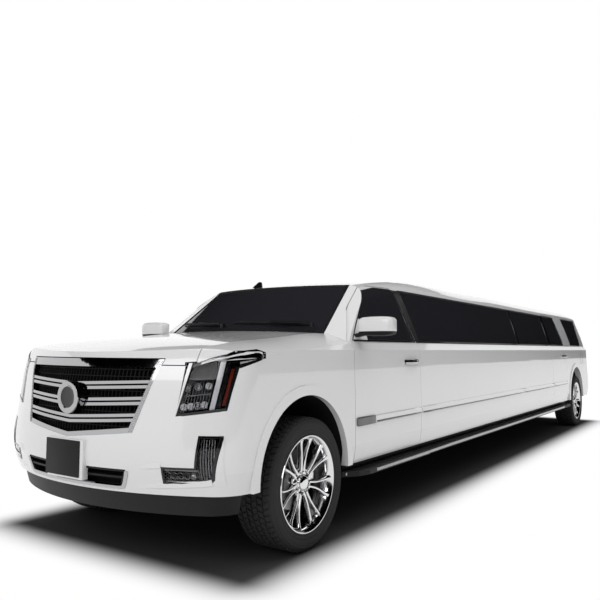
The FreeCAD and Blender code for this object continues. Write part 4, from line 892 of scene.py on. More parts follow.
MOULDING_RUNS = (("door_front_{}", 0.588, 1.688), ("root", 1.706, 4.812), ("root", 4.818, 6.412),
                 ("door_rear_{}", 6.432, 7.322))
BELT_RUNS = (("door_front_{}", 0.640, 1.690), ("root", 1.704, 6.414), ("door_rear_{}", 6.430, 7.328),
             ("root", 7.342, 8.640))
MOULDING_Z = 0.732
CAP_END = 0.858


def side_strip(tree, low, high, z, profile, tip=0.012):
    """Builder of one strip along the left side."""
    def make(mesh):
        tipped_strip(mesh, *side_path(tree, low, high, z), profile, tip)
    return make


class LIMO_OT_mouldings(bpy.types.Operator):
    """Build the door mouldings and the dark strip under the windows."""

    bl_idname = "limo.mouldings"
    bl_label = "Side mouldings"

    def execute(self, context):
        settings = context.scene.limo_trim
        tree = skin_of("door_front_left", "stretch_panels_front", "stretch_panels_rear", "door_rear_left",
                       "quarter_panels")
        height, depth = settings.moulding_height, settings.moulding_depth
        bar = slab(height, depth * 2, depth / 2)
        insert = slab(height * 0.22, depth * 2.4, depth / 5)
        insert_z = MOULDING_Z - height * 0.30
        for number, (body, low, high) in enumerate(MOULDING_RUNS):
            name = f"moulding_{number}"
            add_pair(name, side_strip(tree, low, high, MOULDING_Z, bar), "body_paint", body)
            first = max(low, CAP_END)
            # The insert is dark chrome: a chrome strip that also stands for the shadow line under the
            # moulding, as painted shade.
            add_pair(f"{name}_insert", side_strip(tree, first + 0.004, high - 0.006, insert_z, insert),
                     "dark_chrome", body)
        low = MOULDING_RUNS[0][1]
        cap = slab(height + 0.004, depth * 2.6, depth / 2)
        add_pair("moulding_cap", side_strip(tree, low - 0.002, CAP_END, MOULDING_Z, cap), "grey_trim",
                 "door_front_{}")
        belt = slab(settings.belt_height, 0.012, 0.003)
        for number, (body, low, high) in enumerate(BELT_RUNS):
            add_pair(f"belt_strip_{number}", side_strip(tree, low, high, BELT_Z + 0.006, belt, 0.006),
                     "gloss_black", body)
        return {"FINISHED"}


# Window seals and black pillars

PILLAR_PATCHES = (("door_front_left", 1.45, 1.72, "pillar_black", "door_front_{}"),
                  ("stretch_panels_front", 1.45, 1.90, "pillar_black", "root"),
                  ("stretch_panels_front", 1.90, 4.90, "gloss_black", "root"),
                  ("stretch_panels_rear", 4.70, 6.50, "gloss_black", "root"),
                  ("door_rear_left", 6.30, 7.40, "gloss_black", "door_rear_{}"))
GLASS_LOW_Z = 1.3075
GLASS_HIGH_Z = 1.7375


def left_and_out(face):
    """Whether a face is on the left half and looks outwards."""
    return face.calc_center_median().x > 0.2 and face.normal.x > 0.5


def left_glass_seal(node):
    """Builder of the rubber seal round the left windows of a node."""
    def make(mesh):
        skin = skin_part([node], left_and_out)
        for points, outs in rim_rows(skin):
            strip(mesh, points, outs, slab(0.016, 0.009, 0.002), closed=True)
        skin.free()
    return make


class LIMO_OT_windows(bpy.types.Operator):
    """Build the window seals, the black pillar covers and the wipers."""

    bl_idname = "limo.windows"
    bl_label = "Window trim"

    def execute(self, context):
        for number, (node, low, high, finish, body) in enumerate(PILLAR_PATCHES):
            cuts = within(x=(0, None), y=(at(low), at(high)), z=(GLASS_LOW_Z, GLASS_HIGH_Z))
            add_pair(f"pillar_cover_{number}", cover([node], cuts, (1, 0, 0), 0.0018), finish, body)
        for node, body in (("glass_front_left", "door_front_{}"), ("glass_rear_left", "door_rear_{}"),
                           ("side_windows", "root")):
            name = "seal_" + node.replace("_left", "")
            add_pair(name, left_glass_seal(node), "soft_seal", body)
        rim_strip("seal_windshield", ["windshield"], lambda face: face.normal.z > 0.4 and face.normal.y < 0,
                  slab(0.024, 0.009, 0.002), "soft_seal", "root")
        rim_strip("seal_tailgate_glass", ["tailgate_glass"], lambda face: face.normal.y > 0.5,
                  slab(0.022, 0.009, 0.002), "soft_seal", "tailgate")
        make_wipers()
        return {"FINISHED"}


WINDSHIELD_BASE = 0.405
WINDSHIELD_BOW = 1.695


def glass_base_y(x):
    """Where the foot of the windshield lies at a width."""
    return at(WINDSHIELD_BASE) + WINDSHIELD_BOW - math.sqrt(WINDSHIELD_BOW ** 2 - x ** 2)


def make_wipers():
    """Two wipers at rest along the foot of the windshield."""
    glass = skin_of("windshield")
    blades, arms = start(), start()
    for outer, inner in ((0.66, -0.02), (-0.08, -0.70)):
        rises = spread(0.045, 0.075, 9)
        places = [(x, glass_base_y(x) + rise) for x, rise in zip(spread(outer, inner, 9), rises)]
        tipped_strip(blades, *path_on(top_point, glass, places, 0.010), slab(0.009, 0.012, 0.002))
        points, outs = path_on(top_point, glass, places, 0.020)
        tipped_strip(blades, points[1:-1], outs[1:-1], slab(0.014, 0.010, 0.003))
        pivot = Vector((outer + 0.035, glass_base_y(outer) - 0.030, points[0].z - 0.012))
        middle = points[4] + outs[4] * 0.012
        route = [pivot, pivot.lerp(middle, 0.12) + Vector((0, 0, 0.012)), pivot.lerp(middle, 0.7), middle]
        tipped_strip(arms, route, [outs[4]] * 4, slab(0.020, 0.012, 0.004))
        turn = Matrix.Translation(pivot)
        bmesh.ops.create_cone(arms, cap_ends=True, segments=20, radius1=0.018, radius2=0.014, depth=0.034,
                              matrix=turn)
    add_piece("wiper_blades", blades, "soft_seal", "root")
    add_piece("wiper_arms", arms, "black_moulding", "root")


# Grille, plate and lower intake

NOSE_NODES = ("front_bumper", "grille", "lower_intake", "fog_lamps", "headlamps")
GRILLE_TOP = (0.598, 1.180)
GRILLE_CORNER = (0.474, 0.778)
GRILLE_POINT_Z = 0.731
BADGE_Z = 0.9555
BADGE_RADIUS = 0.092


def grille_side(height_share):
    """Half width and height on the slanted edge of the grille opening at a share of its height."""
    return [mix(low, high, height_share) for low, high in zip(GRILLE_CORNER, GRILLE_TOP)]


def grille_teeth(mesh):
    """Row of small teeth down the left slanted edge of the grille."""
    tree = skin_of(*NOSE_NODES)
    rows = 44
    for row in range(rows):
        x, z = grille_side((row + 0.8) / (rows + 1))
        for column in range(3):
            place, normal = front_point(tree, x - 0.007 - column * 0.009, z, 0.001)
            side = normal.cross(Vector((0, 0, 1))).normalized()
            up = side.cross(normal)
            frame_turn = Matrix((side, up, normal)).transposed().to_4x4()
            size = Matrix.Diagonal((0.0062, 0.0058, 0.006, 1))
            bmesh.ops.create_cone(mesh, cap_ends=True, segments=4, radius1=0.72, radius2=0.35, depth=1.0,
                                  matrix=Matrix.Translation(place) @ frame_turn @ size)


def grille_fins(mesh):
    """Fine upright fins across the whole opening, behind the bars."""
    tree = skin_of("grille_backing")
    count = 43
    for number in range(count):
        x = mix(-0.565, 0.565, number / (count - 1))
        low = GRILLE_POINT_Z + 0.022 + (GRILLE_CORNER[1] - GRILLE_POINT_Z) * min(abs(x) / GRILLE_CORNER[0], 1)
        if abs(x) > GRILLE_CORNER[0] - 0.02:
            low += (abs(x) - GRILLE_CORNER[0] + 0.02) * 3.24
        high = GRILLE_TOP[1] - 0.05
        if high - low < 0.03:
            continue
        places = [(x, z) for z in spread(low, high, 6)]
        strip(mesh, *path_on(front_point, tree, places, 0.012), slab(0.006, 0.024, 0.001))


def grille_chevrons(mesh):
    """Slim dark cross ribs between the bright bars."""
    tree = skin_of("grille_backing")
    for number in range(9):
        z = mix(0.80, 1.115, number / 8)
        half = grille_side((z - GRILLE_CORNER[1]) / (GRILLE_TOP[1] - GRILLE_CORNER[1]))[0] - 0.03
        places = [(x, z) for x in spread(-half, half, 17)]
        strip(mesh, *path_on(front_point, tree, places, 0.022), slab(0.006, 0.010, 0.001))


def boss_ring(mesh):
    """Bright stepped ring round the dish of the boss, about the X axis."""
    r = BADGE_RADIUS
    revolve(mesh, [(-0.006, r - 0.030), (-0.006, r + 0.002), (0.002, r + 0.003), (0.006, r + 0.001),
                   (0.009, r - 0.005), (0.009, r - 0.012), (0.006, r - 0.017), (0.006, r - 0.021),
                   (0.008, r - 0.025), (0.006, r - 0.030)], 72)


def boss_dish(mesh):
    """Plain dark dish in the middle of the boss."""
    r = BADGE_RADIUS - 0.026
    revolve(mesh, [(-0.004, 0.0), (-0.004, r), (0.005, r), (0.003, r * 0.86), (0.002, r * 0.5),
                   (0.0015, 0.0)], 64)


def face_forward(mesh, place):
    """Turns a piece made about the X axis to face the front at a place."""
    bmesh.ops.rotate(mesh, verts=mesh.verts, cent=(0, 0, 0), matrix=Matrix.Rotation(-math.pi / 2, 3, "Z"))
    bmesh.ops.translate(mesh, verts=mesh.verts, vec=place)


class LIMO_OT_nose(bpy.types.Operator):
    """Build the grille's teeth, fins and boss, the bumper's creases, the lower intake's rim and the plate."""

    bl_idname = "limo.nose"
    bl_label = "Grille and bumper"

    def execute(self, context):
        add_pair("grille_teeth", grille_teeth, "polished_chrome", "root", sharp=20)
        add_made("grille_fins", grille_fins, "arch_liner", "root", "trim_black")
        add_made("grille_ribs", grille_chevrons, "arch_liner", "root", "trim_black")
        boss_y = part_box("grille")[0][1]
        for name, make, finish in (("boss_ring", boss_ring, "polished_chrome"),
                                   ("boss_dish", boss_dish, "gloss_black")):
            mesh = start()
            make(mesh)
            face_forward(mesh, (0, boss_y, BADGE_Z))
            add_piece(name, mesh, finish, "root")
        add_pair("bumper_crease", bumper_creases, "body_paint", "root")
        add_made("intake_rim", intake_rim, "polished_chrome", "root", "bright_chrome")
        make_plate()
        return {"FINISHED"}


def bumper_creases(mesh):
    """Two sharp ledges in the left corner of the bumper."""
    tree = skin_of(*NOSE_NODES)
    ledge = [(0.001, 0.0), (0.000, 0.007), (-0.004, 0.0065), (-0.030, 0.0), (-0.030, -0.004),
             (0.001, -0.004)]
    upper = [(x, mix(0.590, 0.602, (x - 0.525) / 0.125)) for x in spread(0.525, 0.650, 6)]
    lower = [(x, mix(0.483, 0.508, (x - 0.510) / 0.35)) for x in spread(0.510, 0.860, 10)]
    lower += [(0.880, 0.512), (0.900, 0.518)]
    for places in (upper, lower):
        points, outs = path_on(front_point, tree, places)
        sizes = [min(1.0, 0.15 + i * 0.35) for i in range(len(points))]
        strip(mesh, points, outs, ledge, sizes=sizes)


def intake_rim(mesh):
    """Bright lip along the bottom and up both ends of the lower intake."""
    tree = skin_of(*NOSE_NODES)
    left = [(0.446, 0.572), (0.438, 0.545), (0.424, 0.510), (0.410, 0.484)]
    bottom = [(x, 0.480) for x in spread(0.385, -0.385, 17)]
    right = [(-x, z) for x, z in reversed(left)]
    strip(mesh, *path_on(front_point, tree, left + bottom + right, 0.001), slab(0.024, 0.016, 0.005))
    inner = [(x, 0.513) for x in spread(0.395, -0.395, 17)]
    strip(mesh, *path_on(front_point, tree, inner, -0.004), slab(0.010, 0.012, 0.003))


def make_plate():
    """Blank black plate on a pale bracket, low in the middle of the bumper."""
    tree = skin_of("front_bumper")
    seat = front_point(tree, 0.0, 0.66)[0].y
    bracket, sheet = start(), start()
    block(bracket, (-0.150, seat - 0.012, 0.500), (0.168, seat + 0.030, 0.722), 0.004)
    block(sheet, (-0.160, seat - 0.018, 0.512), (0.145, seat - 0.0125, 0.716), 0.002)
    add_piece("plate_bracket", bracket, "body_paint", "root")
    add_piece("plate_blank", sheet, "black_moulding", "root")


# Lamps

LAMP_INNER = (Vector((0.703, at(-0.855), 0.873)), Vector((0.752, at(-0.830), 1.160)))
LAMP_OUTER = (Vector((0.940, at(-0.711), 0.909)), Vector((0.916, at(-0.585), 1.180)))
LAMP_BEND = Vector((0.973, at(-0.643), 1.137))
LAMP_TIP = Vector((1.004, at(-0.455), 1.191))
LAMP_VIEW = Vector((1, -1, 0)).normalized()
LAMP_LEAN = 0.125
BROW_VIEW = Vector((0.6, -0.5, 0.62)).normalized()
AHEAD, BEHIND = Vector((0, -1, 0)), Vector((0, 1, 0))
BROW = (((0.770, at(-0.812), 1.1500), (0.7725, at(-0.797), 1.1640)),
        ((0.838, at(-0.725), 1.1550), (0.8420, at(-0.731), 1.1880)),
        ((0.908, at(-0.670), 1.1600), (0.9100, at(-0.680), 1.2090)),
        ((0.965, at(-0.590), 1.1670), (0.9530, at(-0.583), 1.2280)),
        ((1.002, at(-0.500), 1.1760), (0.9550, at(-0.470), 1.2370)),
        ((1.007, at(-0.455), 1.1840), (0.9980, at(-0.448), 1.2150)))
FOG_SHELF = (0.662, 0.832, 0.527, 0.594)
FOG_COLUMN = (0.842, 0.936, 0.606, 0.758)
TAIL_LAMP_MIDDLE = 0.862


def cast_to(tree, aim, view, depth):
    """Point behind a skin where a line along the view meets it."""
    hit = tree.ray_cast(aim + view, -view)[0] or tree.find_nearest(aim)[0]
    return hit - view * depth


def lamp_point(tree, across, up, depth):
    """Point behind the left headlamp's lens at shares of its width and height."""
    low, high = (inner.lerp(outer, across) for inner, outer in zip(LAMP_INNER, LAMP_OUTER))
    return cast_to(tree, low.lerp(high, up), LAMP_VIEW, depth)


def wing_point(tree, along, up, depth):
    """Point behind the headlamp's narrow end, at shares of its run to the tip and of its height."""
    low, high = (corner.lerp(LAMP_TIP, along) for corner in (LAMP_BEND, LAMP_OUTER[1]))
    return cast_to(tree, low.lerp(high, up), LAMP_VIEW, depth)


def add_faces(sheet, rows):
    """Faces between rows of vertices."""
    for row, other in zip(rows, rows[1:]):
        for i in range(len(row) - 1):
            sheet.faces.new((row[i], other[i], other[i + 1], row[i + 1]))


def sheet_at(mesh, point_at, tree, wide, tall, depth, thickness, steps=(6, 8)):
    """Curved sheet behind a lens between two pairs of shares, closed to an even thickness."""
    sheet = start()
    rows = [[sheet.verts.new(point_at(tree, across, up, depth)) for up in spread(*tall, steps[1])]
            for across in spread(*wide, steps[0])]
    add_faces(sheet, rows)
    lift_faces(sheet, 0.0, thickness)
    merge_into(mesh, sheet)


def rod_at(mesh, point_at, tree, places, depth, profile, view):
    """Thin rib behind a lens through a row of places."""
    points = [point_at(tree, *place, depth) for place in places]
    strip(mesh, points, [view] * len(points), profile)


def cup(mesh, place, view, radius, depth):
    """Small round reflector cup with a bulb lens in it."""
    turn = view.to_track_quat("Z", "Y").to_matrix().to_4x4()
    spot = Matrix.Translation(place) @ turn
    rings = []
    for out, reach in ((0.0, 0.25), (0.0, 0.55), (depth, 1.0), (depth, 1.1), (-0.002, 0.65), (-0.002, 0.25)):
        rings.append([spot @ Vector((math.cos(a) * radius * reach, math.sin(a) * radius * reach, out))
                      for a in (2 * math.pi * i / 16 for i in range(16))])
    sweep(mesh, rings, closed=True)
    bmesh.ops.create_uvsphere(mesh, u_segments=12, v_segments=6, radius=radius * 0.34, matrix=spot)


def headlamp_reflector(mesh):
    """Smoked inner part of a headlamp, with upright louvres and two shelves."""
    tree = skin_of("headlamps")
    for across in spread(0.08, 0.60, 10):
        rod_at(mesh, lamp_point, tree, [(across, up) for up in spread(0.07, 0.97, 9)], 0.020,
               slab(0.005, 0.018, 0.001), LAMP_VIEW)
    for up in (0.36, 0.68):
        rod_at(mesh, lamp_point, tree, [(across, up) for across in spread(0.06, 0.61, 7)], 0.022,
               slab(0.008, 0.016, 0.002), LAMP_VIEW)
    sheet_at(mesh, lamp_point, tree, (0.785, 0.865), (0.05, 0.94), 0.016, 0.003)
    sheet_at(mesh, wing_point, tree, (0.04, 0.90), (0.12, 0.88), 0.016, 0.002)
    for along in spread(0.08, 0.80, 9):
        rod_at(mesh, wing_point, tree, [(along, up) for up in spread(0.14, 0.86, 4)], 0.012,
               slab(0.004, 0.008, 0.001), LAMP_VIEW)


def headlamp_cups(mesh):
    """Rows of small lamp cups low in a headlamp."""
    tree = skin_of("headlamps")
    for up, count in ((0.16, 4), (0.52, 3)):
        for across in spread(0.13, 0.53, count):
            cup(mesh, lamp_point(tree, across, up, 0.026), LAMP_VIEW, 0.017, 0.014)


def leaned_point(tree, share, up, depth):
    """Point on the painted sliver that leans a headlamp's inner edge."""
    return lamp_point(tree, share * LAMP_LEAN * up, up, depth)


def brow_point(tree, along, up, lift):
    """Point over the fender's shoulder, above the headlamp."""
    place = along * (len(BROW) - 1)
    number = min(int(place), len(BROW) - 2)
    low, high = (Vector(a).lerp(Vector(b), place - number) for a, b in zip(BROW[number], BROW[number + 1]))
    aim = low.lerp(high, up)
    return meet(tree, aim + BROW_VIEW, -BROW_VIEW, aim, lift)[0]


def sheets(names, *rows):
    """Builder of curved sheets on a skin. Each row is a way to find points and a sheet's layout."""
    def make(mesh):
        for point_at, *layout in rows:
            sheet_at(mesh, point_at, skin_of(*names), *layout)
    return make


def lamp_edges(mesh):
    """Black line along the foot and both sides of a headlamp."""
    tree = skin_of("headlamps")
    low = [(across, 0.018) for across in spread(0.0, 0.985, 8)]
    side = [(0.985, up) for up in spread(0.06, 0.86, 7)]
    rod_at(mesh, lamp_point, tree, low + side, -0.0005, slab(0.016, 0.003, 0.001), LAMP_VIEW)
    rod_at(mesh, lamp_point, tree, [(0.018 + LAMP_LEAN * up, up) for up in spread(0.02, 0.98, 8)], -0.002,
           slab(0.010, 0.003, 0.001), LAMP_VIEW)
    rod_at(mesh, wing_point, tree, [(along, 0.06) for along in spread(0.0, 0.97, 6)], -0.0005,
           slab(0.014, 0.003, 0.001), LAMP_VIEW)


def fog_point(tree, x, z, depth):
    """Point behind the skin of a fog lamp at a width and height."""
    return front_point(tree, x, z)[0] + Vector((0, depth, 0))


def fog_reflector(mesh):
    """Reflector of the lamp row and upright ribs of the column in a fog lamp."""
    tree = skin_of("fog_lamps")
    left, right, low, high = FOG_SHELF
    for z in (low + 0.003, high - 0.003):
        rod_at(mesh, fog_point, tree, [(x, z) for x in spread(left, right, 6)], 0.014,
               slab(0.006, 0.012, 0.001), AHEAD)
    left, right, low, high = FOG_COLUMN
    for x in spread(left + 0.006, right - 0.024, 6):
        rod_at(mesh, fog_point, tree, [(x, z) for z in spread(0.535, high - 0.004, 8)], 0.012,
               slab(0.005, 0.012, 0.001), AHEAD)


def fog_fill(mesh):
    """Painted corner of the bumper that slants the fog lamp's outer edge."""
    tree = skin_of("front_bumper", "fog_lamps", "fenders")
    sheet = start()
    rows = []
    for z in spread(0.765, 0.512, 9):
        left = mix(0.9520, 0.9090, (0.768 - z) / 0.249) if z > 0.540 else 0.885
        right = 0.9535
        rows.append([sheet.verts.new(front_point(tree, x, z, 0.0012)[0]) for x in spread(left, right, 4)])
    add_faces(sheet, rows)
    lift_faces(sheet, 0.0, 0.002)
    merge_into(mesh, sheet)


def fog_edge(mesh):
    """Black outer edge of a fog lamp, broad beside the painted corner."""
    tree = skin_of("front_bumper", "fog_lamps", "fenders")
    places = [(mix(0.9430, 0.9000, (0.768 - z) / 0.249), z) for z in spread(0.766, 0.545, 8)]
    strip(mesh, *path_on(front_point, tree, places, 0.001), slab(0.018, 0.005, 0.001))


def fog_cups(mesh):
    """Row of lamp cups in a fog lamp's shelf."""
    tree = skin_of("fog_lamps")
    left, right, low, high = FOG_SHELF
    for x in spread(left + 0.022, right - 0.022, 5):
        cup(mesh, fog_point(tree, x, (low + high) / 2, 0.018), AHEAD, 0.015, 0.012)


def tail_point(tree, x, z, depth):
    """Point behind the skin of a tail lamp."""
    return rear_point(tree, x, z)[0] - Vector((0, depth, 0))


def tail_blade(mesh):
    """Tall light blade in a tail lamp."""
    tree = skin_of("tail_lamps")
    rod_at(mesh, tail_point, tree, [(TAIL_LAMP_MIDDLE, z) for z in spread(0.84, 1.65, 14)], 0.012,
           slab(0.022, 0.008, 0.002), BEHIND)


def tail_ribs(mesh):
    """Dark floor and fine level ribs on both sides of a tail lamp's blade."""
    tree = skin_of("tail_lamps")
    sheet_at(mesh, tail_point, tree, (0.808, 0.916), (0.812, 1.676), 0.026, 0.002, (4, 16))
    for z in spread(0.83, 1.66, 40):
        for low, high in ((0.810, TAIL_LAMP_MIDDLE - 0.018), (TAIL_LAMP_MIDDLE + 0.018, 0.915)):
            rod_at(mesh, tail_point, tree, [(x, z) for x in spread(low, high, 3)], 0.018,
                   slab(0.004, 0.008, 0.001), BEHIND)


LENS_SHARE = 0.35
LAMP_KINDS = (("headlamps", LAMP_VIEW, "clear_lens", "lamp_clear"),
              ("fog_lamps", Vector((0.5, -0.85, 0)).normalized(), "clear_lens", "lamp_clear"),
              ("tail_lamps", Vector((0.3, 0.95, 0)).normalized(), "red_glass", "lamp_red"))
HEADLAMP, BROW_SKIN = ("headlamps",), ("fenders", "headlamps")
LAMP_INSIDES = (("headlamp_back", sheets(HEADLAMP, (lamp_point, (0.03, 0.97), (0.03, 0.99), 0.032, 0.002,
                                                    (9, 9))), "gloss_black", "trim_black"),
                ("headlamp_reflector", headlamp_reflector, "smoked_reflector", "bright_chrome"),
                ("headlamp_cups", headlamp_cups, "polished_chrome", "bright_chrome"),
                ("headlamp_tube", sheets(HEADLAMP,
                                         (lamp_point, (0.655, 0.755), (0.04, 0.99), 0.012, 0.006, (4, 14)),
                                         (wing_point, (0.02, 0.78), (0.42, 0.66), 0.009, 0.004, (9, 3))),
                 "light_tube", "lamp_clear"),
                ("headlamp_marker", sheets(HEADLAMP, (lamp_point, (0.885, 0.945), (0.10, 0.82), 0.009, 0.005,
                                                      (3, 10))), "amber_lens", "lamp_red"),
                ("headlamp_wedge", sheets(HEADLAMP, (leaned_point, (0.0, 1.0), (0.0, 0.995), -0.0012, 0.002,
                                                     (3, 9))), "body_paint", "body_white"),
                ("headlamp_edges", lamp_edges, "gloss_black", "trim_black"),
                ("brow_base", sheets(BROW_SKIN, (brow_point, (0.0, 1.0), (0.0, 1.0), 0.0005, 0.002, (26, 4))),
                 "gloss_black", "trim_black"),
                ("brow_cover", sheets(BROW_SKIN, (brow_point, (0.10, 0.93), (0.05, 0.80), 0.0026, 0.0012,
                                                  (24, 4))), "smoked_reflector", "bright_chrome"),
                ("brow_streak", sheets(BROW_SKIN, (brow_point, (0.25, 0.88), (0.30, 0.52), 0.0039, 0.001,
                                                   (22, 3))), "light_tube", "lamp_clear"),
                ("fog_reflector", fog_reflector, "smoked_reflector", "bright_chrome"),
                ("fog_cups", fog_cups, "polished_chrome", "bright_chrome"),
                ("fog_back", sheets(("fog_lamps",),
                                    (fog_point, FOG_SHELF[:2], FOG_SHELF[2:], 0.026, 0.002),
                                    (fog_point, FOG_COLUMN[:2], FOG_COLUMN[2:], 0.026, 0.002)),
                 "gloss_black", "trim_black"),
                ("fog_fill", fog_fill, "body_paint", "body_white"),
                ("fog_edge", fog_edge, "gloss_black", "trim_black"),
                ("tail_blade", tail_blade, "light_tube", "lamp_clear"),
                ("tail_ribs", tail_ribs, "smoked_reflector", "bright_chrome"))


def sees(view):
    """Test for faces of a lens, which look along a view on either side of the car."""
    def test(face):
        side = 1 if face.calc_center_median().x > 0 else -1
        return Vector((face.normal.x * side, face.normal.y, face.normal.z)).dot(view) > LENS_SHARE
    return test


class LIMO_OT_lamps(bpy.types.Operator):
    """Build the lenses, housings and insides of every lamp."""

    bl_idname = "limo.lamps"
    bl_label = "Lamps"

    def execute(self, context):
        for node, view, finish, slot in LAMP_KINDS:
            front = sees(view)
            shell_piece(f"{node}_lens", skin_part([node], front), -0.003, finish, "root", [node])
            shell_piece(f"{node}_housing", skin_part([node], lambda face: not front(face)), -0.002,
                        "gloss_black", "root")
            if node != "headlamps":
                rim_strip(f"{node}_rim", [node], front, slab(0.012, 0.004, 0.001), "gloss_black", "root",
                          0.0005)
        for name, make, finish, slot in LAMP_INSIDES:
            add_pair(name, make, finish, "root")
        return {"FINISHED"}


# Mirrors, handles, running boards and roof

MIRROR_MIDDLE = Vector((0, at(0.702), 1.403))
MIRROR_ENDS = ((0.986, 0.45), (0.990, 0.68), (1.000, 0.84), (1.030, 0.95), (1.090, 1.0), (1.180, 1.0),
               (1.225, 0.95), (1.248, 0.84), (1.258, 0.68), (1.262, 0.45))
MIRROR_PARTING = 1.366
SAIL_FOOT, SAIL_TOP = (0.840, 1.300), (0.800, 1.500)
HANDLE_SPANS = (("door_front_{}", 1.395, 1.625), ("door_rear_{}", 7.030, 7.260))
HANDLE_Z = 1.136


def mirror_cap(mesh):
    """Rounded head of a door mirror, flat at its back."""
    rings = []
    for x, share in MIRROR_ENDS:
        ring = []
        for i in range(36):
            turn = 2 * math.pi * i / 36
            ahead, up = math.cos(turn), math.sin(turn)
            reach = 0.066 if ahead > 0 else 0.045
            ring.append(MIRROR_MIDDLE + Vector((x, -math.copysign(abs(ahead) ** 0.42, ahead) * reach * share,
                                                math.copysign(abs(up) ** 0.42, up) * 0.069 * share)))
        rings.append(ring)
    sweep(mesh, rings)


def mirror_half(upper):
    """Builder of the part of the mirror's head above or below its parting line."""
    def make(mesh):
        mirror_cap(mesh)
        gap = 0.0008 if upper else -0.0008
        cut_off(mesh, (0, 0, MIRROR_PARTING + gap), (0, 0, -1 if upper else 1))
        bmesh.ops.holes_fill(mesh, edges=[edge for edge in mesh.edges if edge.is_boundary], sides=0)
    return make


def rounded(low, high, bottom, top, cut, y):
    """Outline of a rectangle with rounded corners that faces along the car."""
    ring = []
    for x, z, first in ((high - cut, top - cut, 0), (low + cut, top - cut, 90),
                        (low + cut, bottom + cut, 180), (high - cut, bottom + cut, 270)):
        for step in range(5):
            turn = math.radians(first + step * 22.5)
            ring.append((x + math.cos(turn) * cut, y, z + math.sin(turn) * cut))
    return ring


def mirror_bezel(mesh):
    """Dark frame round the mirror's face and the arm that carries the head."""
    plate(mesh, rounded(1.004, 1.250, 1.342, 1.462, 0.022, at(0.738)), Vector((0, 0.0095, 0)), 0.002)
    points = [Vector((0.930, at(0.700), 1.333)), Vector((0.965, at(0.700), 1.340)),
              Vector((1.020, at(0.702), 1.352)), Vector((1.080, at(0.702), 1.362))]
    strip(mesh, points, [Vector((0, 0, 1))] * 4, slab(0.070, 0.026, 0.008))


def mirror_glass(mesh):
    """Silvered face of a mirror."""
    plate(mesh, rounded(1.012, 1.242, 1.350, 1.454, 0.017, at(0.7478)), Vector((0, 0.0015, 0)))


def handle_strap(tree, low, high):
    """Builder of a pull handle that bows out from the door."""
    def make(mesh):
        points, outs = [], []
        for station, off in zip(spread(low, high, 11), (2, 14, 26, 31, 33, 33.5, 33, 31, 26, 14, 2)):
            point, normal = side_point(tree, at(station), HANDLE_Z, off / 1000)
            points.append(point)
            outs.append(normal)
        strip(mesh, points, outs, oval(0.036, 0.018))
    return make


def handle_ends(tree, low, high):
    """Builder of the fixed pads under a pull handle's ends."""
    def make(mesh):
        for first, last, tall in ((low - 0.016, low + 0.034, 0.040), (high - 0.034, high + 0.030, 0.044)):
            tipped_strip(mesh, *side_path(tree, first, last, HANDLE_Z), slab(tall, 0.020, 0.005))
    return make


def board_edge(mesh):
    """Bright edge of a running board."""
    tree = skin_of("running_boards")
    for low, high in ((0.470, 1.706), (1.720, 7.318)):
        tipped_strip(mesh, *side_path(tree, low, high, 0.391, step=0.6), slab(0.024, 0.008, 0.002))


def board_ribs(mesh):
    """Long grip ribs on a running board."""
    tree = skin_of("running_boards")
    for number in range(5):
        places = [(0.985 + number * 0.016, at(station)) for station in (0.49, 3.0, 5.0, 7.30)]
        tipped_strip(mesh, *path_on(top_point, tree, places), slab(0.008, 0.004, 0.001))


def roof_fin(mesh):
    """Low antenna fin on the roof."""
    foot = top_point(skin_of("roof", "a_pillars"), -0.35, at(1.20))[0]
    rings = []
    for share in (0.0, 0.08, 0.35, 0.65, 0.9, 1.0):
        height = -0.004 + 0.060 * share
        length = mix(0.150, 0.045, share) * (0.7 if share == 1 else 1)
        width = mix(0.046, 0.012, share ** 0.7) * (0.5 if share == 1 else 1)
        rings.append([foot + Vector((u, v + 0.040 * share, height)) for u, v in oval(width, length, 20)])
    sweep(mesh, rings)


def fuel_flap(mesh):
    """Seam round the fuel flap on the left rear quarter."""
    tree = skin_of("quarter_panels")
    ring = rounded(8.395, 8.575, 1.010, 1.170, 0.022, 0.0)
    places = [(at(station), z) for station, _, z in ring]
    strip(mesh, *path_on(side_point, tree, places), slab(0.004, 0.002, 0.0005), closed=True)


class LIMO_OT_fittings(bpy.types.Operator):
    """Build the mirrors, door handles, running board trim, roof fin and fuel flap seam."""

    bl_idname = "limo.fittings"
    bl_label = "Mirrors and handles"

    def execute(self, context):
        door = "door_front_{}"
        add_pair("mirror_head", mirror_half(True), "body_paint", door, 40, ["mirror_{}"])
        add_pair("mirror_foot", mirror_half(False), "black_moulding", door, 40)
        add_pair("mirror_bezel", mirror_bezel, "black_moulding", door)
        add_pair("mirror_glass", mirror_glass, "mirror_face", door)
        slant = Vector((0, SAIL_TOP[1] - SAIL_FOOT[1], SAIL_FOOT[0] - SAIL_TOP[0]))
        foot = (0, at(SAIL_FOOT[0]), SAIL_FOOT[1])
        sail = cover(["glass_front_left"], [(foot, slant)], (1, 0, 0), 0.005, 0.004)
        add_pair("mirror_sail", sail, "body_paint", door)
        for number, (body, low, high) in enumerate(HANDLE_SPANS):
            tree = skin_of(body.format("left"))
            for kind, make in (("strap", handle_strap), ("ends", handle_ends)):
                add_pair(f"handle_{kind}_{number}", make(tree, low, high), "polished_chrome", body)
        add_pair("board_edge", board_edge, "speckled_edge", "root")
        add_pair("board_ribs", board_ribs, "black_moulding", "root")
        add_made("roof_fin", roof_fin, "gloss_black", "root", "trim_black", 50)
        add_made("fuel_flap_seam", fuel_flap, "soft_seal", "root", "trim_black")
        return {"FINISHED"}


# Tail


def tail_row(node, low, high, z, profile):
    """Builder of a level strip across the tail."""
    def make(mesh):
        places = [(x, z) for x in spread(low, high, 13)]
        tipped_strip(mesh, *path_on(rear_point, skin_of(node), places), profile)
    return make


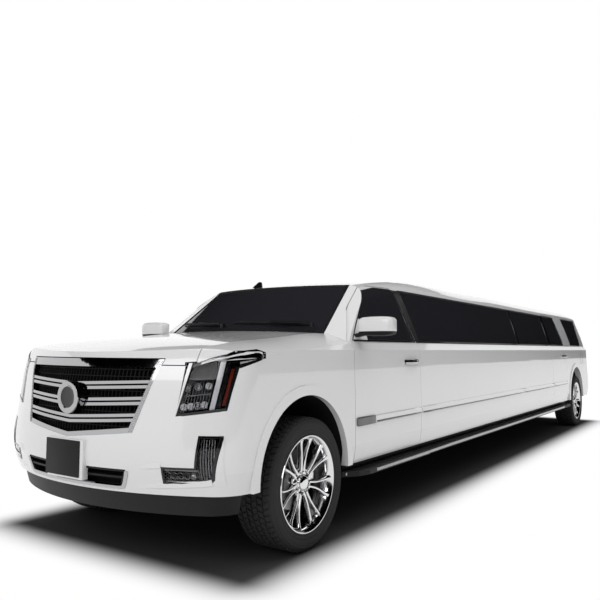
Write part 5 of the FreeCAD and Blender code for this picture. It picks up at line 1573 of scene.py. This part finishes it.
def tail_plate(mesh):
    """Dark panel that holds the rear plate."""
    tree = skin_of("tailgate")
    y = rear_point(tree, 0.0, 0.90)[0].y
    block(mesh, (-0.290, y - 0.020, 0.815), (0.290, y + 0.008, 0.985), 0.006)


def tail_plate_blank(mesh):
    """Blank plate of the tailgate."""
    y = rear_point(skin_of("tailgate"), 0.0, 0.90)[0].y
    block(mesh, (-0.152, y + 0.0085, 0.826), (0.152, y + 0.0115, 0.976), 0.001)


def tail_wiper(mesh):
    """Wiper at rest low on the tailgate's glass."""
    tree = skin_of("tailgate_glass")
    places = [(x, mix(1.372, 1.395, (x + 0.40) / 0.36)) for x in spread(-0.40, -0.04, 7)]
    tipped_strip(mesh, *path_on(rear_point, tree, places, 0.010), slab(0.010, 0.012, 0.002))
    points, outs = path_on(rear_point, tree, [(-0.22, 1.384), (-0.10, 1.374), (0.0, 1.352)], 0.022)
    tipped_strip(mesh, points, outs, slab(0.018, 0.010, 0.003))
    turn = Matrix.Translation(points[-1] - Vector((0, 0.012, 0))) @ Matrix.Rotation(math.pi / 2, 4, "X")
    bmesh.ops.create_cone(mesh, cap_ends=True, segments=20, radius1=0.018, radius2=0.018, depth=0.034,
                          matrix=turn)


TAIL_PIECES = (("tail_bar", tail_row("tailgate", -0.60, 0.60, 1.060, slab(0.040, 0.016, 0.005)),
                "polished_chrome", "tailgate", "bright_chrome"),
               ("tail_plate_panel", tail_plate, "black_moulding", "tailgate", "trim_black"),
               ("tail_plate_blank", tail_plate_blank, "light_tube", "tailgate", "body_white"),
               ("high_brake_lamp", tail_row("tailgate", -0.22, 0.22, 1.800, slab(0.020, 0.010, 0.003)),
                "red_lens", "tailgate", "lamp_red"),
               ("tail_wiper", tail_wiper, "black_moulding", "tailgate", "trim_black"))


class LIMO_OT_tail(bpy.types.Operator):
    """Build the trim, lamps, plate and wiper of the tail."""

    bl_idname = "limo.tail"
    bl_label = "Tail trim"

    def execute(self, context):
        for row in TAIL_PIECES:
            add_made(*row)
        add_pair("bumper_reflector", tail_row("rear_bumper", 0.60, 0.76, 0.545, slab(0.034, 0.008, 0.002)),
                 "red_lens", "root")
        tread = cover(["rear_bumper"], within(x=(-0.60, 0.60), z=(0.60, None)), (0, 0, 1), 0.003)
        add_made("bumper_pad", tread, "black_moulding", "root", "trim_black")
        return {"FINISHED"}


# Cabin

WHEEL_CENTRE = Vector((0.410, -3.1645, 1.1524))
WHEEL_TILT = math.radians(25)
WHEEL_RADIUS = 0.180
DOOR_TRIMS = (("door_front_{}", 0.72, 1.58), ("door_rear_{}", 6.50, 7.24))
WOOD_Z, ARMREST_Z, SPEAKER_Z = 1.130, 1.010, 0.700


def inner_row(tree, low, high, z, out, profile):
    """Builder of a strip along the inner skin."""
    def make(mesh):
        places = [(at(station), z) for station in spread(low, high, 9)]
        tipped_strip(mesh, *path_on(inner_point, tree, places, out), profile)
    return make


def speaker_ring(tree, station):
    """Builder of the ring and ribs of a door's speaker."""
    def make(mesh):
        place = inner_point(tree, at(station), SPEAKER_Z, 0.006)[0]
        revolve(mesh, [(0.0, 0.068), (0.0, 0.084), (-0.006, 0.083), (-0.009, 0.078), (-0.008, 0.070)], 40)
        for number in range(9):
            z = mix(-0.056, 0.056, number / 8)
            half = math.sqrt(0.070 ** 2 - z ** 2)
            block(mesh, (-0.006, -half, z - 0.002), (0.0, half, z + 0.002))
        bmesh.ops.translate(mesh, verts=mesh.verts, vec=place)
    return make


def steering_wheel(mesh):
    """Padded rim of the steering wheel."""
    turns = [2 * math.pi * i / 14 for i in range(14)]
    revolve(mesh, [(math.cos(turn) * 0.018, WHEEL_RADIUS + math.sin(turn) * 0.019) for turn in turns], 60)
    for turn in (0, 180, 270):
        way = Vector((0, math.cos(math.radians(turn)), math.sin(math.radians(turn))))
        points = [way * 0.030, way * 0.090 + Vector((-0.006, 0, 0)), way * (WHEEL_RADIUS - 0.008)]
        strip(mesh, points, [Vector((1, 0, 0))] * 3, slab(0.036, 0.020, 0.005))
    revolve(mesh, [(-0.034, 0.0), (-0.034, 0.040), (0.010, 0.064), (0.020, 0.058), (0.026, 0.040),
                   (0.028, 0.0)], 36)
    away = Vector((0, math.cos(WHEEL_TILT), math.sin(WHEEL_TILT)))
    rise = Vector((0, -math.sin(WHEEL_TILT), math.cos(WHEEL_TILT)))
    turn = Matrix((away, Vector((-1, 0, 0)), rise)).transposed()
    bmesh.ops.rotate(mesh, verts=mesh.verts, cent=(0, 0, 0), matrix=turn)
    bmesh.ops.translate(mesh, verts=mesh.verts, vec=WHEEL_CENTRE)


def dash_row(low, high, z, profile):
    """Builder of a level strip across the dashboard."""
    def make(mesh):
        places = [(x, z) for x in spread(low, high, 9)]
        tipped_strip(mesh, *path_on(dash_point, skin_of("dashboard"), places), profile)
    return make


def dash_screen(mesh):
    """Screen in the middle of the dashboard."""
    face = dash_point(skin_of("dashboard"), 0.0, 1.20)[0].y
    block(mesh, (-0.120, face - 0.004, 1.150), (0.120, face + 0.012, 1.270), 0.004)


def dash_gauges(mesh):
    """Two round gauges behind the steering wheel."""
    face = dash_point(skin_of("dashboard"), 0.41, 1.25)[0].y
    for x in (0.345, 0.475):
        ring = start()
        revolve(ring, [(-0.004, 0.040), (-0.004, 0.050), (0.012, 0.050), (0.014, 0.046), (0.010, 0.042)], 36)
        revolve(ring, [(-0.004, 0.0), (-0.004, 0.041), (0.004, 0.041), (0.004, 0.0)], 36)
        bmesh.ops.rotate(ring, verts=ring.verts, cent=(0, 0, 0), matrix=Matrix.Rotation(math.pi / 2, 3, "Z"))
        bmesh.ops.translate(ring, verts=ring.verts, vec=(x, face, 1.245))
        merge_into(mesh, ring)


def dash_vents(mesh):
    """Slatted air vents across the dashboard."""
    tree = skin_of("dashboard")
    for x in (-0.68, -0.19, 0.19, 0.68):
        face = dash_point(tree, x, 1.21)[0].y
        for z in spread(1.180, 1.240, 5):
            block(mesh, (x - 0.055, face - 0.003, z - 0.003), (x + 0.055, face + 0.006, z + 0.003), 0.001)


def engine_cover(mesh):
    """Ribbed cover on top of the engine."""
    (left, ahead, _), (right, behind, top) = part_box("engine")
    block(mesh, (left * 0.8, ahead + 0.06, top + 0.0005), (right * 0.8, behind - 0.20, top + 0.055), 0.018, 3)
    for x in spread(-0.18, 0.18, 7):
        block(mesh, (x - 0.006, ahead + 0.10, top + 0.050), (x + 0.006, behind - 0.24, top + 0.062), 0.003)


def radiator(mesh):
    """Radiator core with its side tanks and fins, ahead of the engine."""
    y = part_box("engine")[0][1] - 0.14
    block(mesh, (-0.40, y - 0.020, 0.620), (0.40, y + 0.020, 1.060), 0.004)
    for side in (-1, 1):
        block(mesh, (side * 0.425 - 0.024, y - 0.028, 0.600), (side * 0.425 + 0.024, y + 0.028, 1.080), 0.008)
    for z in spread(0.640, 1.040, 26):
        block(mesh, (-0.395, y + 0.020, z - 0.002), (0.395, y + 0.024, z + 0.002))


CABIN_PIECES = (("steering_wheel", steering_wheel, "seat_hide", "root", "seat_leather"),
                ("dash_wood", dash_row(-0.84, 0.84, 1.110, slab(0.040, 0.008, 0.002)), "figured_wood", "root",
                 "cabin_black"),
                ("dash_screen", dash_screen, "gloss_black", "root", "cabin_black"),
                ("dash_gauges", dash_gauges, "dark_chrome", "root", "bright_chrome"),
                ("dash_vents", dash_vents, "gloss_black", "root", "cabin_black"),
                ("roof_lining", cover(["roof"], [], (0, 0, -1), 0.004), "cabin_carpet", "root",
                 "cabin_black"),
                ("floor_carpet", cover(["floor_pan"], within(z=(None, 0.80)), (0, 0, 1), 0.005),
                 "cabin_carpet", "root", "cabin_black"),
                ("tailgate_card", cover(["tailgate"], within(z=(0.80, None)), (0, -1, 0), 0.005),
                 "cabin_moulding", "tailgate", "cabin_black"),
                ("hood_pad", cover(["hood"], within(x=(-0.70, 0.70), y=(-4.95, -3.75)), (0, 0, -1), 0.006),
                 "arch_liner", "hood", "liner_black"),
                ("engine_cover", engine_cover, "black_moulding", "root", "trim_black"),
                ("radiator", radiator, "cast_metal", "root", "engine_grey"))


class LIMO_OT_cabin(bpy.types.Operator):
    """Build the linings, the dashboard's fittings, the door panels and what lies under the hood."""

    bl_idname = "limo.cabin"
    bl_label = "Cabin and engine bay"

    def execute(self, context):
        for row in CABIN_PIECES:
            add_made(*row)
        linings = cover(["stretch_panels_front", "stretch_panels_rear", "quarter_panels", "a_pillars"],
                        within(x=(0, None), z=(0.63, None)), (-1, 0, 0), 0.005)
        add_pair("stretch_trim", linings, "cabin_moulding", "root")
        for body, low, high in DOOR_TRIMS:
            node = body.format("left")
            kind = body.replace("_{}", "")
            tree = skin_of(node)
            cuts = within(x=(0, None), y=(at(low - 0.05), at(high + 0.03)), z=(0.50, None))
            add_pair(f"{kind}_card", cover([node], cuts, (-1, 0, 0), 0.006), "cabin_moulding", body)
            armrest = inner_row(tree, low + 0.18, high - 0.10, ARMREST_Z, 0.026, slab(0.060, 0.050, 0.014))
            add_pair(f"{kind}_armrest", armrest, "seat_hide", body)
            wood = inner_row(tree, low + 0.03, high - 0.04, WOOD_Z, 0.008, slab(0.034, 0.008, 0.002))
            add_pair(f"{kind}_wood", wood, "figured_wood", body)
            add_pair(f"{kind}_speaker", speaker_ring(tree, low + 0.18), "cabin_moulding", body)
        return {"FINISHED"}


# Seats

PAD_PRESSURE = 4.0
PAD_FRAMES = 20
PAD_LIMIT = 0.024
LOUNGE_MODULES = 7
REAR_MODULES = 3
LOUNGE_SPAN = (-2.164, 2.274)
REAR_HALF_WIDTH = 0.820
LOUNGE_SEAT_Z, LOUNGE_BACK_Z = 0.747, 0.912
SEAT_LEAN = math.radians(15)


def applied(item):
    """Replaces an object's mesh by the shape that its modifiers give."""
    graph = bpy.context.evaluated_depsgraph_get()
    data = bpy.data.meshes.new_from_object(item.evaluated_get(graph), depsgraph=graph)
    item.modifiers.clear()
    old = item.data
    item.data = data
    bpy.data.meshes.remove(old)


def blow_up(item):
    """Lets a closed cloth skin swell under pressure and keeps each point within a limit of its start."""
    scene = bpy.context.scene
    first = [vert.co.copy() for vert in item.data.vertices]
    cloth = item.modifiers.new("cloth", "CLOTH").settings
    cloth.use_pressure = True
    cloth.uniform_pressure_force = PAD_PRESSURE
    cloth.effector_weights.gravity = 0.0
    cloth.quality = 4
    for frame_number in range(1, PAD_FRAMES + 1):
        scene.frame_set(frame_number)
    applied(item)
    scene.frame_set(1)
    for vert, start_place in zip(item.data.vertices, first):
        move = vert.co - start_place
        if move.length > PAD_LIMIT:
            vert.co = start_place + move * (PAD_LIMIT / move.length)


def stuffed(form, voxel, smooth_steps):
    """Stuffed pad grown from a closed form. Returns it as a mesh under construction."""
    item = new_object("pad_form", form)
    remesh = item.modifiers.new("remesh", "REMESH")
    remesh.mode = "VOXEL"
    remesh.voxel_size = voxel
    applied(item)
    blow_up(item)
    if smooth_steps:
        item.modifiers.new("smooth", "SUBSURF").levels = smooth_steps
        applied(item)
    mesh = start()
    mesh.from_mesh(item.data)
    data = item.data
    bpy.data.objects.remove(item)
    bpy.data.meshes.remove(data)
    return mesh


def fitted(mesh, size):
    """Scales a pad to its full size, standing on the origin."""
    reach = [[vert.co[axis] for vert in mesh.verts] for axis in range(3)]
    low, high = (Vector([pick(values) for values in reach]) for pick in (min, max))
    foot = Vector(((low.x + high.x) / 2, (low.y + high.y) / 2, low.z))
    bmesh.ops.translate(mesh, verts=mesh.verts, vec=-foot)
    bmesh.ops.scale(mesh, verts=mesh.verts, vec=[full / span for full, span in zip(size, high - low)])


def sew(mesh, lines, facing, depth=0.011, width=0.009):
    """Presses sewn channels into the side of a pad that faces one way.

    A line is the number of the axis that it crosses and a place on that axis.
    """
    mesh.normal_update()
    facing = Vector(facing)
    moves = []
    for vert in mesh.verts:
        away = min(abs(vert.co[axis] - place) for axis, place in lines)
        share = max(vert.normal.dot(facing), 0.0) * math.exp(-(away / width) ** 2)
        moves.append((vert, vert.normal * (-depth * share)))
    for vert, move in moves:
        vert.co += move


def pad_form(size, cut):
    """Rounded block that a pad starts from, standing on the origin in depth and height."""
    mesh = start()
    block(mesh, (-size[0] / 2, -size[1] / 2, 0.0), (size[0] / 2, size[1] / 2, size[2]), cut, 3)
    return mesh


def placed(mesh, matrix):
    """Copy of a pad put in its place."""
    copy = mesh.copy()
    bmesh.ops.transform(copy, matrix=matrix, verts=copy.verts)
    return copy


def add_pad(name, mesh, replaced=()):
    """Pad of the car in hide."""
    piece = add_piece(name, mesh, "seat_hide", "root", 60, replaced)


def front_seat_pads():
    """Cushion, back and headrest of the left front seat, as pads at their own origin."""
    cushion = stuffed(pad_form((0.460, 0.410, 0.120), 0.040), 0.010, 1)
    fitted(cushion, (0.500, 0.455, 0.155))
    sew(cushion, [(0, -0.150), (0, 0.150), (1, -0.070), (1, 0.070)], (0, 0, 1))
    back = stuffed(pad_form((0.460, 0.080, 0.500), 0.036), 0.010, 1)
    fitted(back, (0.500, 0.108, 0.550))
    sew(back, [(0, -0.145), (0, 0.145), (2, 0.150), (2, 0.300)], (0, -1, 0))
    headrest = stuffed(pad_form((0.230, 0.085, 0.140), 0.034), 0.008, 1)
    fitted(headrest, (0.264, 0.120, 0.175))
    return cushion, back, headrest


def lean_matrix(place, lean):
    """Matrix that leans a pad back and puts it in its place."""
    return Matrix.Translation(place) @ Matrix.Rotation(-lean, 4, "X")


def seat_frames(mesh):
    """Hard base, sides and headrest posts of the left front seat."""
    block(mesh, (0.165, -2.975, 0.622), (0.655, -2.500, 0.735), 0.020, 3)
    for x in (0.152, 0.640):
        block(mesh, (x, -2.960, 0.700), (x + 0.028, -2.520, 0.800), 0.012, 3)
    for x in (0.355, 0.465):
        points = [Vector((x, -2.392, 1.400)), Vector((x, -2.385, 1.560))]
        strip(mesh, points, [BEHIND] * 2, oval(0.012, 0.012))
    shell = start()
    block(shell, (-0.235, -0.014, 0.0), (0.235, 0.014, 0.560), 0.012, 3)
    bmesh.ops.transform(shell, matrix=lean_matrix((0.410, -2.494, 0.890), SEAT_LEAN), verts=shell.verts)
    merge_into(mesh, shell)


def lounge_plinths(mesh):
    """Plain fronts under the cushions of both lounge benches."""
    block(mesh, (-0.846, -2.160, 0.622), (-0.345, 2.205, 0.745), 0.010)
    block(mesh, (-0.816, 2.235, 0.622), (0.816, 2.730, 0.745), 0.010)
    block(mesh, (-0.846, -2.160, 0.746), (-0.815, 2.205, 1.225), 0.006)
    block(mesh, (-0.816, 2.700, 0.746), (0.816, 2.732, 1.225), 0.006)


class LIMO_OT_seats(bpy.types.Operator):
    """Build the stuffed seats of the driver's cabin and the lounge."""

    bl_idname = "limo.seats"
    bl_label = "Seats"

    def execute(self, context):
        cushion, back, headrest = front_seat_pads()
        places = (("cushion", cushion, Matrix.Translation((0.410, -2.760, 0.744))),
                  ("back", back, lean_matrix((0.410, -2.542, 0.908), SEAT_LEAN)),
                  ("headrest", headrest, lean_matrix((0.410, -2.386, 1.487), SEAT_LEAN / 3)))
        for name, pad, matrix in places:
            for side, sign in SIDES.items():
                mesh = placed(pad, matrix)
                if sign < 0:
                    mirror_mesh(mesh)
                first = ["front_seats"] if (name, side) == ("cushion", "left") else ()
                add_pad(f"seat_{name}_{side}", mesh, first)
            pad.free()
        add_pair("seat_frame", seat_frames, "cabin_moulding", "root")
        self.lounge()
        return {"FINISHED"}

    def lounge(self):
        """Benches of the lounge, one pad for each place."""
        length = (LOUNGE_SPAN[1] - LOUNGE_SPAN[0]) / LOUNGE_MODULES
        cushion = stuffed(pad_form((length - 0.050, 0.390, 0.115), 0.038), 0.012, 0)
        fitted(cushion, (length - 0.006, 0.430, 0.155))
        sew(cushion, [(0, -length / 6), (0, length / 6)], (0, 0, 1), 0.010, 0.012)
        back = stuffed(pad_form((length - 0.050, 0.060, 0.275), 0.026), 0.012, 0)
        fitted(back, (length - 0.006, 0.088, 0.320))
        sew(back, [(0, -length / 6), (0, length / 6), (2, 0.160)], (0, -1, 0), 0.010, 0.012)
        turn = Matrix.Rotation(math.pi / 2, 4, "Z")
        tilt = Matrix.Rotation(math.radians(-7), 4, "X")
        for number in range(LOUNGE_MODULES):
            y = LOUNGE_SPAN[0] + length * (number + 0.5)
            low = Matrix.Translation((-0.553, y, LOUNGE_SEAT_Z)) @ turn
            high = Matrix.Translation((-0.762, y, LOUNGE_BACK_Z)) @ turn @ tilt
            add_pad(f"lounge_cushion_{number}", placed(cushion, low), () if number else ["lounge_seats"])
            add_pad(f"lounge_back_{number}", placed(back, high))
        width = 2 * REAR_HALF_WIDTH / REAR_MODULES
        shrink = Matrix.Diagonal((width / length, 0.95, 1, 1))
        for number in range(REAR_MODULES):
            x = -REAR_HALF_WIDTH + width * (number + 0.5)
            low = Matrix.Translation((x, 2.430, LOUNGE_SEAT_Z)) @ shrink
            high = Matrix.Translation((x, 2.656, LOUNGE_BACK_Z)) @ shrink
            add_pad(f"rear_cushion_{number}", placed(cushion, low))
            add_pad(f"rear_back_{number}", placed(back, high))
        cushion.free()
        back.free()
        add_made("lounge_plinths", lounge_plinths, "cabin_moulding", "root", "cabin_black")


# Studio

CAMERA_PLACE = (3.2287, -7.4811, 1.2446)
CAMERA_ANGLES = (34.2573, 4.3087, 0.2673)
# Half width and half length of the car's footprint, where the floor's colour is painted dark as a painted
# shadow.
PAINTED_SHADOW_FLOOR = (0.98, 4.72, 0.0)


class LIMO_OT_studio(bpy.types.Operator):
    """Set up the floor, the backdrop, the lamps and the camera."""

    bl_idname = "limo.studio"
    bl_label = "Studio"

    def execute(self, context):
        settings = context.scene.limo_studio
        scene = context.scene
        scene.view_settings.view_transform = "Standard"
        make_floor()
        make_sky(scene, settings)
        key = add_lamp("key_light", settings.key, (9.0, 13.0), (0.5, -0.5, 6.5), (0.0, 0.0, 0.0))
        key.visible_glossy = False
        add_lamp("front_light", settings.front, (6.0, 4.0), (1.5, -12.0, 5.0), (0.0, -4.0, 0.8))
        add_card("card_above", (60.0, 70.0), (0.0, 0.0, 16.0), (0.0, 0.0, 0.0))
        add_card("card_beside", (260.0, 15.0), (11.0, 10.0, 8.2), (0.0, 10.0, 6.0))
        add_camera(scene, settings)
        return {"FINISHED"}


def make_floor():
    """Pale floor, painted dark under the car as a painted shadow over the rendered one, that turns white away
    from it.
    """
    mesh = start()
    bmesh.ops.create_grid(mesh, x_segments=1, y_segments=1, size=200.0)
    floor = new_object("studio_floor", mesh)
    material = bpy.data.materials.new("studio_floor")
    material.use_nodes = True
    tree = material.node_tree
    tree.nodes.clear()
    far = floor_distance(tree)
    plain = tree.nodes.new("ShaderNodeBsdfDiffuse")
    # Painted shadow: the floor's own colour is 0.06 under the car and fades to a pale 0.86 clear of it.
    link(tree, mix_color(tree, far, (0.06, 0.06, 0.06, 1), (0.86, 0.86, 0.86, 1)), plain.inputs["Color"])
    white = tree.nodes.new("ShaderNodeEmission")
    blend = tree.nodes.new("ShaderNodeMixShader")
    link(tree, math_node(tree, "MULTIPLY", far, seen_ray(tree)), blend.inputs[0])
    link(tree, plain.outputs[0], blend.inputs[1])
    link(tree, white.outputs[0], blend.inputs[2])
    link(tree, blend.outputs[0], tree.nodes.new("ShaderNodeOutputMaterial").inputs["Surface"])
    floor.data.materials.append(material)


def floor_distance(tree):
    """0 under the car, rising to 1 where the floor is well clear of it. It fades out the floor's painted
    shadow and fades in the white floor.
    """
    row = tree.nodes.new("ShaderNodeTexCoord").outputs["Object"]
    for operation, value in (("ABSOLUTE", None), ("SUBTRACT", PAINTED_SHADOW_FLOOR), ("MAXIMUM", (0.0, 0.0, 0.0)),
                             ("LENGTH", None)):
        step = tree.nodes.new("ShaderNodeVectorMath")
        step.operation = operation
        link(tree, row, step.inputs[0])
        if value:
            step.inputs[1].default_value = value
        row = step.outputs["Value"] if operation == "LENGTH" else step.outputs["Vector"]
    fade = tree.nodes.new("ShaderNodeMapRange")
    fade.interpolation_type = "SMOOTHSTEP"
    fade.inputs["From Max"].default_value = 0.42
    link(tree, row, fade.inputs["Value"])
    return fade.outputs["Result"]


def seen_ray(tree):
    """1 for rays from the camera, a mirror or a window, and 0 for rays that gather light."""
    path = tree.nodes.new("ShaderNodeLightPath")
    either = math_node(tree, "MAXIMUM", path.outputs["Is Camera Ray"], path.outputs["Is Glossy Ray"])
    return math_node(tree, "MAXIMUM", either, path.outputs["Is Transmission Ray"])


def make_sky(scene, settings):
    """White backdrop all round, which lights the car more softly than it looks."""
    world = bpy.data.worlds.new("studio_sky")
    scene.world = world
    world.use_nodes = True
    tree = world.node_tree
    back = tree.nodes["Background"]
    strength = tree.nodes.new("ShaderNodeMix")
    strength.inputs[2].default_value = settings.sky
    strength.inputs[3].default_value = 1.0
    link(tree, seen_ray(tree), strength.inputs["Factor"])
    link(tree, strength.outputs[0], back.inputs["Strength"])
    back.inputs["Color"].default_value = (1, 1, 1, 1)


def aim_at(item, place, target):
    """Puts a lamp or a card in its place, facing a point."""
    item.location = place
    item.rotation_euler = (Vector(target) - Vector(place)).to_track_quat("-Z", "Y").to_euler()


def add_lamp(name, power, size, place, target):
    """Wide rectangular lamp that faces a point."""
    light = bpy.data.lights.new(name, "AREA")
    light.shape = "RECTANGLE"
    light.size, light.size_y = size
    light.energy = power
    lamp = bpy.data.objects.new(name, light)
    aim_at(lamp, place, target)
    bpy.context.scene.collection.objects.link(lamp)
    return lamp


def add_card(name, size, place, target):
    """Black card that only mirrors and windows see, for bright metal and glass to reflect."""
    mesh = start()
    bmesh.ops.create_grid(mesh, x_segments=1, y_segments=1, size=0.5)
    bmesh.ops.scale(mesh, verts=mesh.verts, vec=(*size, 1.0))
    card = new_object(name, mesh)
    aim_at(card, place, target)
    new_finish(name, Base_Color=(0.002, 0.002, 0.002), Specular_IOR_Level=0.0)
    card.data.materials.append(bpy.data.materials[name])
    card.visible_camera = False
    card.visible_diffuse = False
    card.visible_shadow = False


def add_camera(scene, settings):
    """Camera low beside the left front corner, looking back along the car."""
    turn, rise, roll = (math.radians(angle) for angle in CAMERA_ANGLES)
    ahead = Vector((-math.sin(turn) * math.cos(rise), math.cos(turn) * math.cos(rise), math.sin(rise)))
    right = Vector((math.cos(turn), math.sin(turn), 0))
    up = right.cross(ahead)
    right, up = right * math.cos(roll) + up * math.sin(roll), up * math.cos(roll) - right * math.sin(roll)
    data = bpy.data.cameras.new("camera")
    data.lens = settings.lens
    data.sensor_width = 36.0
    data.clip_end = 500.0
    camera = bpy.data.objects.new("camera", data)
    turned = Matrix((right, up, -ahead)).transposed().to_4x4()
    camera.matrix_world = Matrix.Translation(CAMERA_PLACE) @ turned
    scene.collection.objects.link(camera)
    scene.camera = camera


# Panel

OPERATORS = (LIMO_OT_finishes, LIMO_OT_wheels, LIMO_OT_mouldings, LIMO_OT_windows, LIMO_OT_nose,
             LIMO_OT_lamps, LIMO_OT_fittings, LIMO_OT_tail, LIMO_OT_cabin, LIMO_OT_seats, LIMO_OT_studio)
GROUPS = {"limo_finish": FinishSettings, "limo_wheels": WheelSettings, "limo_trim": TrimSettings,
          "limo_studio": StudioSettings}


class LIMO_PT_panel(bpy.types.Panel):
    """Sidebar panel with every step of the car's looks."""

    bl_label = "Limousine"
    bl_idname = "LIMO_PT_panel"
    bl_space_type = "VIEW_3D"
    bl_region_type = "UI"
    bl_category = "Limousine"

    def draw(self, context):
        for group, kind in GROUPS.items():
            box = self.layout.box()
            for name in kind.__annotations__:
                box.prop(getattr(context.scene, group), name)
        for step in OPERATORS:
            self.layout.operator(step.bl_idname)


def register():
    """Adds the settings, the steps and the panel to Blender."""
    for kind in (*GROUPS.values(), *OPERATORS, LIMO_PT_panel):
        bpy.utils.register_class(kind)
    for name, kind in GROUPS.items():
        setattr(bpy.types.Scene, name, PointerProperty(type=kind))


def unregister():
    """Takes everything away again."""
    for name in GROUPS:
        delattr(bpy.types.Scene, name)
    for kind in (LIMO_PT_panel, *reversed(OPERATORS), *reversed(list(GROUPS.values()))):
        bpy.utils.unregister_class(kind)


def main():
    """Runs every step."""
    register()
    for step in OPERATORS:
        area, name = step.bl_idname.split(".")
        getattr(getattr(bpy.ops, area), name)()


if __name__ == "__main__":
    main()
